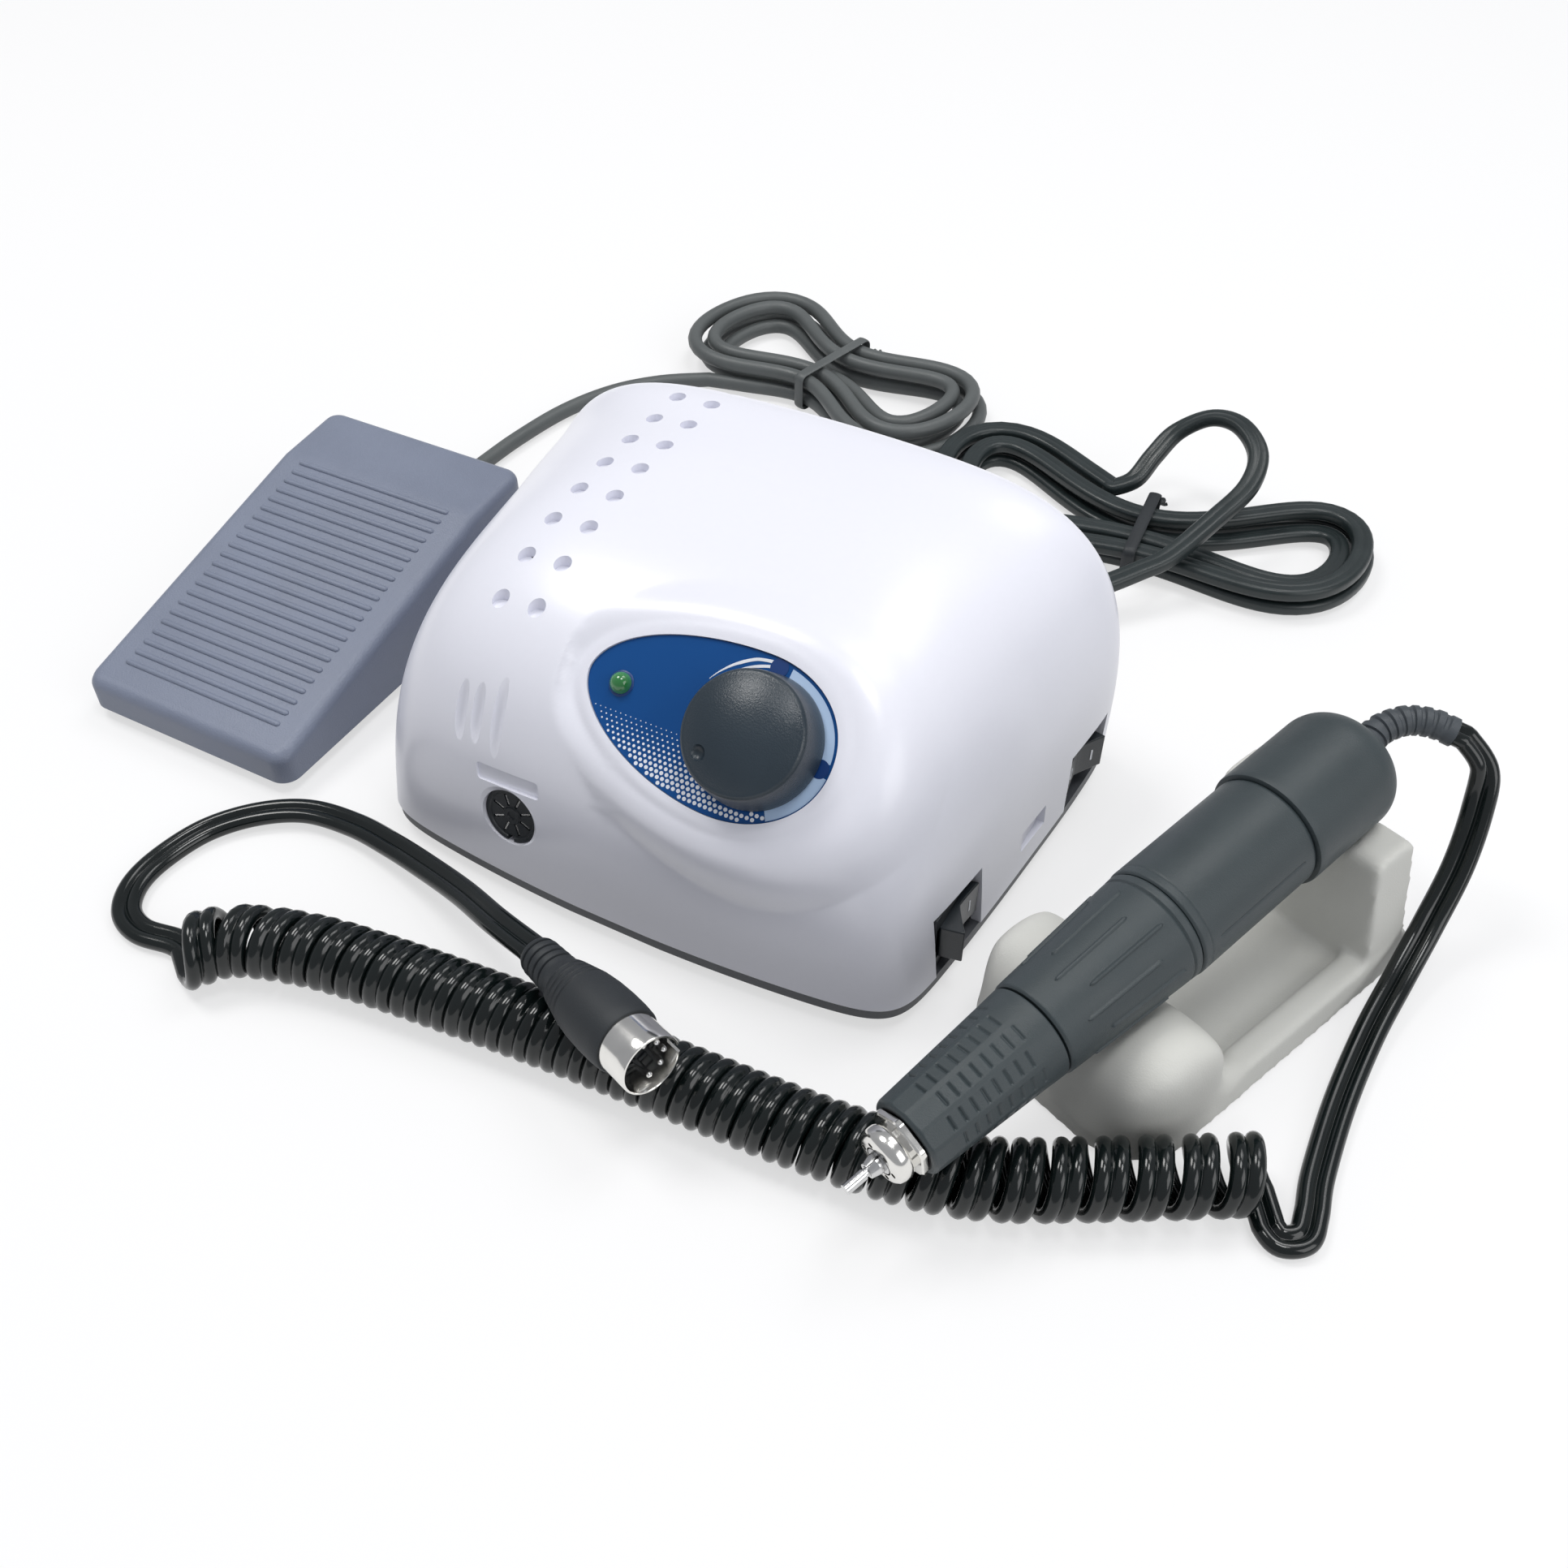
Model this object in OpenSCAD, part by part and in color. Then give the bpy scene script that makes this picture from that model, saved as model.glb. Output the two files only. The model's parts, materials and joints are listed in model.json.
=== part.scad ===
// Electric rotary tool set: control unit, micromotor handpiece, foot pedal, cradle and cords.
// Millimetres. +Z is up, the table is z = 0, and the control unit faces -Y.

/* [Control unit] */
// Width of the shell at its front corners
unit_front_w = 145; // [138:1:152]
// Width of the shell at its rear corners
unit_rear_w = 164; // [158:1:170]
// Distance of the front face from the unit's widest line
unit_front_reach = 70.5; // [68:0.5:73]
// Distance of the rear face from the unit's widest line
unit_rear_reach = 57.5; // [56:0.5:62]
// Height of the shell's top above the table
unit_h = 83; // [79:1:90]
// Wall of the shell
shell_wall = 2.5; // [2:0.1:3]
// Height of the shell's lower edge above the table
shell_base_z = 7; // [6:0.5:9]
// Height of the rubber feet
foot_h = 3; // [2:0.5:4]
// Radius of the rubber feet
foot_r = 7; // [5:0.5:9]
// Diameter of a vent hole
vent_d = 4.2; // [3:0.1:6]
// Spacing of the vent holes along a row
vent_pitch = 11.2; // [10:0.1:12]
// Number of vent holes in a row
vent_count = 9; // [6:1:9]
// Distance between the two vent rows
vent_rows = 10; // [8:0.5:14]
// Radius of the case screws
screw_r = 1.5; // [1:0.1:2]

/* [Speed dial] */
// Tilt of the dial plate from level, in degrees
dial_tilt = 40; // [38:0.5:42]
// Half height of the dial plate
dial_r = 18.5; // [18:0.1:20]
// Distance from the knob's axis to the plate's narrow end
dial_tip_x = 43.4; // [41:0.2:46]
// Thickness of the dial plate
dial_t = 1.6; // [1:0.1:2]
// Radius of the speed knob
knob_r = 15; // [13:0.5:16]
// Height of the speed knob's edge
knob_h = 11; // [9:0.5:14]
// Rise of the knob's domed top
knob_dome = 2.5; // [1.5:0.1:4]
// Radius of the potentiometer's shaft
pot_shaft_r = 3; // [2.5:0.1:3.2]
// Diameter of the power lamp
lamp_d = 5; // [3:0.5:6]

/* [Sockets and switches] */
// Diameter of the motor socket's opening
socket_d = 16; // [14:0.1:18]
// Depth of the motor socket's face below the shell
socket_recess = 1.2; // [0.8:0.1:2]
// Length of a switch opening
switch_l = 20; // [18:0.5:22]
// Height of a switch opening
switch_h = 18.5; // [17:0.5:20]
// Length of a rocker
rocker_l = 16; // [14:0.5:17]
// Height of a rocker
rocker_h = 10; // [8:0.5:12]
// Tilt of a rocker to either side, in degrees
rocker_tilt = 12; // [8:1:14]

/* [Handpiece] */
// Radius of the nose grip's front face
nose_r = 8.9; // [8.5:0.1:9.5]
// Length of the nose grip
nose_l = 35; // [32:0.5:38]
// Front radius of the lock sleeve
sleeve_front_r = 11.2; // [10.8:0.1:11.8]
// Rear radius of the lock sleeve
sleeve_rear_r = 13.4; // [12.8:0.1:13.6]
// Length of the lock sleeve
sleeve_l = 37; // [35:0.5:39]
// Radius of the motor case
case_r = 13.6; // [13.2:0.1:14]
// Length of the motor case
case_l = 36; // [35:0.5:40]
// Radius of the rear cap
cap_r = 14.6; // [14.2:0.1:15]
// Length of the rear cap
cap_l = 32; // [29:0.5:34]
// Radius of the tool shank
shank_r = 1.175; // [1:0.005:1.2]
// Length of the shank outside the collet
shank_out = 5.7; // [4:0.1:10]
// Radius of the spindle
spindle_r = 3; // [2.8:0.05:3.4]
// Radial clearance of a running fit
running_gap = 0.05; // [0.02:0.01:0.08]
// Rise of the handpiece's axis towards the rear, in degrees
hand_rise = 7.8; // [7:0.1:9]

/* [Cradle] */
// Length of the cradle
cradle_l = 98; // [92:1:104]
// Half width of the cradle at the table
cradle_half_w = 28.2; // [26.5:0.2:31]
// Height of the cradle's side rails
rail_h = 8; // [6:0.5:9]
// Height of the front rest's peaks
front_rest_h = 29.5; // [27:0.5:31]
// Height of the rear rest's peaks
rear_rest_h = 36; // [33:0.5:39]
// Gap between the handpiece and its rests
rest_gap = 0.3; // [0.2:0.05:0.5]

/* [Pedal] */
// Width of the pedal
pedal_w = 70; // [66:1:76]
// Length of the pedal
pedal_l = 111.5; // [108:0.5:114]
// Height of the pedal's front edge
pedal_front_h = 13; // [12:0.5:15]
// Height of the pedal's rear edge
pedal_rear_h = 36; // [34:0.5:40]
// Wall of the pedal's cover
pedal_wall = 2.5; // [2:0.1:3]
// Number of cross ridges on the pedal
ridge_count = 21; // [15:1:22]
// Radius of the pedal's hinge pin
pedal_pin_r = 1.5; // [1.2:0.1:1.8]

/* [Cords] */
// Width of the handpiece's flat cord
flat_w = 5.8; // [5.4:0.1:6]
// Thickness of the handpiece's flat cord
flat_t = 3.3; // [3:0.1:3.6]
// Outer diameter of the curly section
curl_d = 17; // [16:0.5:18]
// Number of curls
curls = 32; // [28:1:33]
// Diameter of the pedal cord
pedal_cord_d = 5; // [4.4:0.1:5.2]
// Width of the mains cord
mains_w = 6.2; // [5.6:0.1:6.4]
// Thickness of the mains cord
mains_t = 4; // [3.5:0.1:4.2]
// Radius of the plug's metal shell
plug_r = 6.6; // [6:0.1:6.8]
// Length of the plug's metal shell
plug_l = 14; // [12:0.5:16]

/* [Hidden] */

$fn = 64;
seat = 0.3;
// Centre of the whole set's footprint, seen from the middle of the unit
set_x = -1.65;
set_y = -16.64;

// ---- helpers ----
function mix(a, b, t) = a + (b - a) * t;
function spow(v, e) = sign(v) * pow(abs(v), e);
function unit_v(v) = v / norm(v);
function smooth(t) = t <= 0 ? 0 : t >= 1 ? 1 : t * t * (3 - 2 * t);
module placed() translate([-set_x, -set_y, 0]) children();

// Catmull-Rom spline through points, k steps to a span
function cr(a, b, c, d, t) = 0.5 * ((2 * b) + (c - a) * t + (2 * a - 5 * b + 4 * c - d) * t * t
    + (3 * b - a - 3 * c + d) * t * t * t);
function spline(p, k) = let(n = len(p) - 1) concat(
    [for (i = [0:n - 1]) for (j = [0:k - 1])
        cr(p[max(i - 1, 0)], p[i], p[i + 1], p[min(i + 2, n)], j / k)],
    [p[n]]);
function heading(p, i) = let(n = len(p) - 1) unit_v(p[min(i + 1, n)] - p[max(i - 1, 0)]);
function across(t) = unit_v([-t[1], t[0], 0.0001]);
// Triangles of a closed tube of m rings with n points each
function tube_faces(m, n) = concat(
    [for (i = [0:m - 2]) for (j = [0:n - 1]) [i * n + j, (i + 1) * n + j, (i + 1) * n + (j + 1) % n]],
    [for (i = [0:m - 2]) for (j = [0:n - 1]) [i * n + j, (i + 1) * n + (j + 1) % n, i * n + (j + 1) % n]],
    [for (j = [1:n - 2]) [0, j, j + 1]],
    [for (j = [1:n - 2]) [(m - 1) * n, (m - 1) * n + j + 1, (m - 1) * n + j]]);
// One ring of a tube: w wide along a, t thick along b
function widest(n) = n == 6 ? 1 : cos(180 / n);
function thickest(n) = cos(180 / n);
function ring(c, a, b, w, t, n) = [for (j = [0:n - 1]) let(q = 360 * (j + (n == 6 ? 0 : 0.5)) / n)
    c + a * (cos(q) * w / 2 / widest(n)) + b * (sin(q) * t / 2 / thickest(n))];
// A spline through p that ends straight at the point tip, coming along the direction d
function to_tip(p, k, tip, d, l = 5) = concat(spline(concat(p, [tip - d * l]), k), [tip]);
function flip(p) = [for (i = [len(p) - 1:-1:0]) p[i]];
// A spline from tip a, leaving along da, through p, to tip b, arriving along db
function between(a, da, p, b, db, k, l = 5) = concat([a], spline(concat([a + da * l], p, [b - db * l]), k), [b]);
// A tube of w by t along the points p, with square ends
module cord(p, w, t, n) {
    m = len(p);
    rings = [for (i = [0:m - 1]) let(h = heading(p, i), a = across(h), b = cross(h, a))
        each ring(p[i], a, b, w, t, n)];
    polyhedron(rings, tube_faces(m, n), convexity = 10);
}
// Least distance between points of one path that lie more than skip steps apart
function least_gap(p, skip) = min([for (i = [0:len(p) - 1]) for (j = [i + skip:1:len(p) - 1])
    norm(p[i] - p[j])]);

// ---- control unit ----
unit_mid_y = 4.5;
front_bow = 5.8;
rear_bow = 10;
side_bow = 2.25;
body_top = unit_h - 0.2;
// Half width of the unit at share e of its depth, -1 at the front and 1 at the rear
function half_w(e) = (unit_front_w + unit_rear_w) / 4 + (unit_rear_w - unit_front_w) / 4 * e
    + side_bow * (1 - e * e);
function side_x(y) = half_w((y - unit_mid_y)
    / (y < unit_mid_y ? unit_front_reach : unit_rear_reach));
// Point of the shell's surface, up = 0 to 90 and around = 0 to 360, moved in by the wall w
// around counts evenly along the outline, not by the superellipse's own angle
function spread(q) = atan2(spow(sin(q), 3), spow(cos(q), 3));
function shell_pt(up, around, w) = let(
    c = cos(spread(around)),
    s = sin(spread(around)),
    m = 3.5 + 3.6 * pow(max(s, 0), 2) - 0.3 * pow(max(-s, 0), 2),
    lift = pow(sin(up), 2 / m),
    r = pow(max(cos(up), 0), 2 / m),
    p = mix(15, mix(3.4, 5.5, (1 + s) / 2), pow(lift, 0.93)),
    xi = spow(c, 2 / p) * r,
    e = 0.52 + r * (spow(s, 2 / p) - 0.52),
    x = (half_w(e) - w) * xi * (1 - lift * mix(0.12, -0.07, (e + 1) / 2)),
    y = e < 0
        ? -e * (w - unit_front_reach + front_bow * xi * xi)
        : e * (unit_rear_reach - w - rear_bow * xi * xi - 5.3 * lift),
    z = shell_base_z + lift * (body_top - shell_base_z - w - 3.65 * pow(max(e, 0), 2)))
    [x, y + unit_mid_y, z];
shell_around = 56;
shell_ups = [0, 7, 14, 22, 30, 38, 46, 54, 62, 70, 78, 85];
// Closed solid of the shell's form, moved in by w and with its lower edge at z0
module shell_form(w, z0) {
    n = shell_around;
    m = len(shell_ups);
    low = [for (j = [0:n - 1]) let(q = shell_pt(0, 360 * (j + 0.5) / n, w)) [q[0], q[1], z0]];
    rings = concat(low, [for (i = [0:m - 1]) for (j = [0:n - 1])
        shell_pt(i == 0 ? 3 : shell_ups[i], 360 * (j + 0.5) / n, w)]);
    top = shell_pt(90, 0, w);
    polyhedron(concat(rings, [top]), concat(
        [for (i = [0:m - 1]) for (j = [0:n - 1])
            [i * n + j, (i + 1) * n + j, (i + 1) * n + (j + 1) % n]],
        [for (i = [0:m - 1]) for (j = [0:n - 1])
            [i * n + j, (i + 1) * n + (j + 1) % n, i * n + (j + 1) % n]],
        [for (j = [0:n - 1]) [m * n + j, len(rings), m * n + (j + 1) % n]],
        [[for (j = [0:n - 1]) j]]), convexity = 4);
}
// The shell's outline at its lower edge, moved in by w
function base_line(w) = [for (j = [0:shell_around - 1])
    let(q = shell_pt(0, 360 * (j + 0.5) / shell_around, w)) [q[0], q[1]]];

boss_r = 4.2;
boss_at = [[-50, -42], [46, -44], [-54, 36], [48, 38]];
boss_z = shell_base_z + 5;
tray_floor = 2.2;
screw_head_r = 3;
screw_l = 16;
feet_at = [[-60, -47], [60, -47], [-64, 40], [64, 40]];

// Dial plate: its own frame has the knob's axis as +Z and the plate's face as z = 0
dial_at = [30, -47, unit_h - 20];
module on_dial() translate(dial_at) rotate([dial_tilt, 0, 0]) children();
// Egg-shaped outline: round on the knob's side, drawn out and slightly raised at the lamp's side
dial_mid_x = -5;
dial_rise = 2.3;
dial_right = dial_r - 0.8;
function dial_pt(q) = let(c = cos(q), s = sin(q), left = c < 0, e = 2 / (left ? 1.85 : 2.1),
    u = pow(abs(c), e), a = left ? -dial_tip_x - dial_mid_x : dial_right - dial_mid_x)
    [dial_mid_x + a * u, sign(s) * dial_r * pow(abs(s), e) + (left ? dial_rise * pow(u, 1.5) : 0)];
function dial_edge(grow, step = 5) = [for (q = [step / 2:step:359]) let(t = dial_pt(q + 1) - dial_pt(q - 1))
    dial_pt(q) + grow * [t[1], -t[0]] / norm(t)];
module dial_outline(grow) polygon(dial_edge(grow));
dial_floor = 3;
rim_w = 2.8;
rim_h = 0.7;
bush_r = 3.6 + pot_shaft_r - 3;
lamp_at = [8.4 - dial_tip_x, 1.6];
plate_gap = 0.1;

// Motor socket: its own frame has the socket's axis as +Z, outwards, and the shell's surface at z = 0
socket_at = [-28.1, -64.7, 26.6];
socket_tilt = 13;
module on_socket() translate(socket_at) rotate([90 - socket_tilt, 0, 0]) children();
socket_seat = -5.6;
socket_r = socket_d / 2;
// Bare label field above the socket, and three pressed flutes: the ends of each on the shell
label_at = [-27.3, -63.3, 38.4];
flutes = [[[-41.9, -54.2, 56.7], [-41.9, -60.8, 42.8]], [[-37.2, -54.2, 57.6], [-37.2, -60.8, 44.1]],
    [[-31.3, -52.7, 60.2], [-31.3, -61.8, 42.6]]];
flute_depth = 1.2;
flute_r = 1.7;

// Switches on the right side: centre along Y
direction_y = -34.5;
power_y = 29;
switch_back = 3;
switch_body = 16;
pivot_r = 1;

vent_x = -41;
vent_y = -39.5;

module top_shell() color([0.95, 0.95, 0.98]) placed() difference() {
    union() {
        shell_form(0, shell_base_z);
        on_dial() translate([0, 0, -dial_t - dial_floor])
            linear_extrude(dial_t + dial_floor + rim_h) dial_outline(rim_w);
    }
    difference() {
        shell_form(shell_wall, shell_base_z - 2);
        for (b = boss_at)
            translate([b[0], b[1], boss_z]) cylinder(r = boss_r, h = unit_h);
        on_dial() translate([0, 0, -dial_t - dial_floor])
            linear_extrude(dial_t + dial_floor + rim_h) dial_outline(rim_w);
        on_socket() translate([0, 0, socket_seat]) cylinder(r = socket_r + 4, h = 12);
        translate([jack_x, jack_y - shell_wall - 0.7, jack_z]) rotate([-90, 0, 0])
            cylinder(r = jack_r + 3, h = 12);
    }
    for (b = boss_at)
        translate([b[0], b[1], boss_z - 1]) cylinder(r = screw_r + 0.05, h = screw_l + 2, $fn = 24);
    for (i = [0:vent_count - 1]) for (k = [0, 1])
        translate([vent_x + k * vent_rows, vent_y + i * vent_pitch, unit_h - 45])
            cylinder(d = vent_d, h = 60, $fn = 24);
    on_dial() translate([0, 0, -dial_t])
        linear_extrude(20) dial_outline(plate_gap);
    on_dial() translate([0, 0, -15]) cylinder(r = bush_r + plate_gap, h = 20);
    on_dial() translate([lamp_at[0], lamp_at[1], -15])
        cylinder(d = lamp_d + 2 * plate_gap, h = 20, $fn = 32);
    // motor socket with a bevelled edge, and the bare label field above it
    on_socket() translate([0, 0, socket_seat - 2]) cylinder(r = socket_r, h = 14);
    on_socket() translate([0, 0, -0.5]) cylinder(r1 = socket_r, r2 = socket_r + 2.5, h = 2.5);
    translate(label_at) rotate([78, 0, -2.5]) rotate([0, 0, 4.6])
        translate([-9, -2.25, -0.6]) cube([18, 4.5, 5]);
    // three pressed flutes: each a ring laid against the shell
    for (f = flutes) let(l = norm(f[1] - f[0]), dip = flute_depth - l * l / 400, r = l * l / 8 / dip + dip / 2,
        d = (f[0] - f[1]) / l, n = [0, -d[2], d[1]])
        translate((f[0] + f[1]) / 2 + n * (r - dip)) rotate([0, 90, 0])
            rotate_extrude($fn = 96) translate([r - flute_r, 0]) circle(r = flute_r, $fn = 12);
    // openings for the two rocker switches
    for (y = [direction_y, power_y])
        translate([side_x(y) - 12, y - switch_l / 2, shell_base_z - 1])
            cube([20, switch_l, switch_h + 1]);
    // small slot on the right side
    translate([side_x(0.5) - 1.6, -5.5, 14]) cube([8, 12, 6]);
    // mains gland and pedal jack
    translate([mains_x, rear_y - 16, mains_z]) rotate([-90, 0, 0]) cylinder(r = gland_r, h = 30);
    translate([jack_x, rear_y - 16, jack_z]) rotate([-90, 0, 0]) cylinder(r = jack_r, h = 30);
}

gland_r = 5.2;
mains_x = 45;
mains_z = 18;
jack_r = 3.9;
jack_x = -34;
jack_z = 20;
rear_y = unit_mid_y + unit_rear_reach;
// Outer surface of the rear wall at x, about the height of the gland
function rear_wall_y(x) = rear_y - rear_bow * pow(x / half_w(0.96), 2) - 5.3 * 0.16;

module base_tray() color([0.28, 0.29, 0.31]) placed() difference() {
    union() {
        translate([0, 0, foot_h]) linear_extrude(shell_base_z - foot_h)
            polygon(base_line(0.35));
        for (b = boss_at)
            translate([b[0], b[1], foot_h]) cylinder(r = boss_r, h = boss_z - foot_h);
        for (b = board_posts)
            translate([b[0], b[1], foot_h]) cylinder(r = 3, h = board_z - foot_h, $fn = 32);
        translate([core_x - core_w / 2, core_y - core_d / 2, foot_h])
            cube([core_w, core_d, core_z - foot_h]);
    }
    translate([0, 0, foot_h + tray_floor]) linear_extrude(shell_base_z) difference() {
        polygon(base_line(shell_wall + 1.5));
        for (b = boss_at)
            translate([b[0], b[1]]) circle(r = boss_r);
        for (b = board_posts)
            translate([b[0], b[1]]) circle(r = 3, $fn = 32);
        translate([core_x - core_w / 2, core_y - core_d / 2]) square([core_w, core_d]);
    }
    for (b = boss_at)
        translate([b[0], b[1], foot_h - 1]) {
            cylinder(r = screw_r + 0.05, h = 20, $fn = 24);
            cylinder(r = screw_head_r + 0.2, h = 4, $fn = 32);
        }
    // air slots in the floor
    for (i = [0:5])
        translate([8 + i * 6, -42, foot_h - 1]) cube([2.5, 20, 6]);
}

module unit_feet() color([0.12, 0.12, 0.13]) placed()
    for (f = feet_at)
        translate([f[0], f[1], 0]) cylinder(r = foot_r, h = foot_h);

module case_screws() color([0.75, 0.75, 0.76]) placed()
    for (b = boss_at)
        translate([b[0], b[1], foot_h + 1]) difference() {
            union() {
                cylinder(r = screw_head_r, h = 2, $fn = 32);
                cylinder(r = screw_r, h = screw_l + boss_z - foot_h - 4, $fn = 24);
            }
            for (q = [0, 90])
                rotate([0, 0, q]) translate([-1.8, -0.35, -1]) cube([3.6, 0.7, 2]);
        }

module dial_plate() color([0.06, 0.25, 0.55]) placed() on_dial() difference() {
    translate([0, 0, -dial_t]) linear_extrude(dial_t) dial_outline(0);
    translate([0, 0, -dial_t - 1]) cylinder(r = bush_r + plate_gap, h = dial_t + 2);
    translate([lamp_at[0], lamp_at[1], -dial_t - 1])
        cylinder(d = lamp_d + 2 * plate_gap, h = dial_t + 2, $fn = 32);
}

// Domed lamp with its flange behind the shell's floor
module power_lamp() color([0.05, 0.5, 0.25]) placed() on_dial()
    translate([lamp_at[0], lamp_at[1], 0]) {
        translate([0, 0, -dial_t - dial_floor - 3]) cylinder(d = lamp_d + 2, h = 3, $fn = 32);
        translate([0, 0, -dial_t - dial_floor]) cylinder(d = lamp_d, h = dial_t + dial_floor + 0.4, $fn = 48);
        translate([0, 0, 0.4]) intersection() {
            sphere(d = lamp_d, $fn = 48);
            cylinder(d = lamp_d + 1, h = lamp_d, $fn = 32);
        }
    }

nut_r = bush_r + 2.6;
nut_t = 2;
knob_skirt = seat + 0.1;
knob_depth = knob_h - 3;
// A cap with a domed top, a hollow for the nut and a bore for the shaft
module speed_knob() color([0.27, 0.31, 0.35]) placed() on_dial() difference() {
    dome = (knob_r * knob_r + knob_dome * knob_dome) / 2 / knob_dome;
    rotate_extrude($fn = 96) intersection() {
        translate([0, knob_skirt]) square([knob_r, knob_h + knob_dome]);
        translate([0, knob_h + knob_dome - dome]) circle(r = dome, $fn = 180);
        polygon([[0, 0], [knob_r, 0], [knob_r - 0.6, knob_h + knob_dome + 2], [0, knob_h + knob_dome + 2]]);
    }
    translate([0, 0, -1]) cylinder(r = nut_r + 1, h = nut_t + 2);
    translate([0, 0, -1]) cylinder(r = pot_shaft_r + 0.02, h = knob_depth + 1);
    // pointer dimple
    translate([-7.1, -7.2, knob_h + knob_dome - 1.2]) cylinder(r = 1.5, h = 4, $fn = 32);
}

module pot_shaft() color([0.8, 0.8, 0.8]) placed() on_dial()
    translate([0, 0, -8]) cylinder(r = pot_shaft_r, h = 8 + knob_depth - 0.3, $fn = 48);

module speed_pot() color([0.45, 0.42, 0.3]) placed() on_dial() difference() {
    union() {
        translate([0, 0, -dial_t - dial_floor - 9]) cylinder(r = 8, h = 9);
        translate([0, 0, -dial_t - dial_floor]) cylinder(r = bush_r, h = dial_t + dial_floor + nut_t + 0.3);
        cylinder(r = nut_r, h = nut_t, $fn = 6);
        for (i = [-1:1])
            translate([i * 3.5 - 0.5, -13, -dial_t - dial_floor - 6]) cube([1, 6, 0.8]);
    }
    translate([0, 0, -8.3]) cylinder(r = pot_shaft_r + running_gap, h = 20, $fn = 48);
}

// Round insert with five contact slots, seated behind the front wall
module motor_socket() color([0.08, 0.08, 0.09]) placed() on_socket()
    translate([0, 0, -socket_recess]) difference() {
        union() {
            translate([0, 0, -14]) cylinder(r = socket_r - 0.1, h = 14);
            translate([0, 0, socket_seat + socket_recess - 2.5]) cylinder(r = socket_r + 3, h = 2.5);
        }
        for (i = [0:4])
            rotate([0, 0, i * 45]) translate([4.4, 0, -6]) cylinder(r = 0.9, h = 7, $fn = 24);
        for (i = [0:4])
            rotate([0, 0, i * 45]) translate([3.5, -0.5, -1.5]) cube([2.4, 1, 3]);
    }

// A switch frame set in the shell's side: local x is outward from the shell
module on_side(y) translate([side_x(y) - switch_back, y, shell_base_z + switch_h / 2]) children();
module switch_frame() difference() {
    union() {
        translate([-2, -switch_l / 2 + 0.3, -switch_h / 2 + 0.05]) cube([2, switch_l - 0.6, switch_h - 0.35]);
        translate([-switch_body, -rocker_l / 2 - 1.7, -rocker_h / 2 - 2])
            cube([switch_body - 1, rocker_l + 3.4, rocker_h + 4]);
        for (i = [-1:1])
            translate([-switch_body - 5, i * 5 - 0.4, -2]) cube([6, 0.8, 4]);
    }
    translate([-9, -rocker_l / 2 - 1, -rocker_h / 2 - 0.2]) cube([12, rocker_l + 2, rocker_h + 0.4]);
    translate([-3, 0, -rocker_h / 2 - 1.5]) cylinder(r = pivot_r + running_gap, h = rocker_h + 3, $fn = 32);
}
// A rocker tipped by the angle q, with a pivot pin at each end
module switch_rocker(q) translate([-3, 0, 0]) rotate([0, 0, q]) {
    translate([0, 0, -rocker_h / 2]) linear_extrude(rocker_h) polygon([[6, -rocker_l / 2],
        [4, 0], [6, rocker_l / 2], [1.5, rocker_l / 2], [-3.2, 3], [-3.2, -3], [1.5, -rocker_l / 2]]);
    translate([0, 0, -rocker_h / 2 - 1.2]) cylinder(r = pivot_r, h = rocker_h + 2.4, $fn = 32);
}
module power_switch() color([0.12, 0.13, 0.14]) placed() on_side(power_y) switch_frame();
module power_rocker() color([0.16, 0.18, 0.2]) placed() on_side(power_y) switch_rocker(-rocker_tilt);
module direction_switch() color([0.12, 0.13, 0.14]) placed() on_side(direction_y) switch_frame();
module direction_rocker() color([0.16, 0.18, 0.2]) placed() on_side(direction_y) switch_rocker(rocker_tilt);

// Transformer: laminated frame with two windows, the winding round its middle leg
core_x = -34;
core_y = 5;
core_z = foot_h + 5;
core_w = 57;
core_d = 30;
core_h = 48;
leg = core_w / 6;
module transformer_core() color([0.5, 0.5, 0.53]) placed()
    translate([core_x - core_w / 2, core_y - core_d / 2, core_z]) difference() {
        cube([core_w, core_d, core_h]);
        for (x = [leg, 4 * leg])
            translate([x, -1, leg]) cube([leg, core_d + 2, core_h - 2 * leg]);
    }
module transformer_winding() color([0.75, 0.6, 0.2]) placed()
    translate([core_x, core_y, core_z + leg + seat]) difference() {
        translate([-2 * leg + seat, -core_d / 2 - leg + seat, 0])
            cube([4 * leg - 2 * seat, core_d + 2 * leg - 2 * seat, core_h - 2 * leg - 2 * seat]);
        translate([-leg - 0.05, -core_d / 2 - 0.05, -1]) cube([2 * leg + 0.1, core_d + 0.1, core_h]);
    }

board_z = 14;
board_t = 1.6;
board_at = [0, -20];
board_w = 44;
board_d = 50;
board_posts = [for (x = [4, board_w - 4]) for (y = [4, board_d - 4]) [board_at[0] + x, board_at[1] + y]];
// Board with capacitors, a relay, a heat sink and terminals
module circuit_board() color([0.1, 0.4, 0.2]) placed()
    translate([board_at[0], board_at[1], board_z]) {
        cube([board_w, board_d, board_t]);
        for (p = [[9, 12, 5, 20], [22, 12, 5, 20], [9, 26, 4, 14]])
            translate([p[0], p[1], board_t - 0.5]) cylinder(r = p[2], h = p[3], $fn = 32);
        translate([18, 22, board_t - 0.5]) cube([19, 15, 15]);
        translate([34, 5, board_t - 0.5]) cube([3, 14, 24]);
        for (i = [0:3])
            translate([8 + i * 7, 43, board_t - 0.5]) cube([6, 6, 10]);
    }

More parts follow.
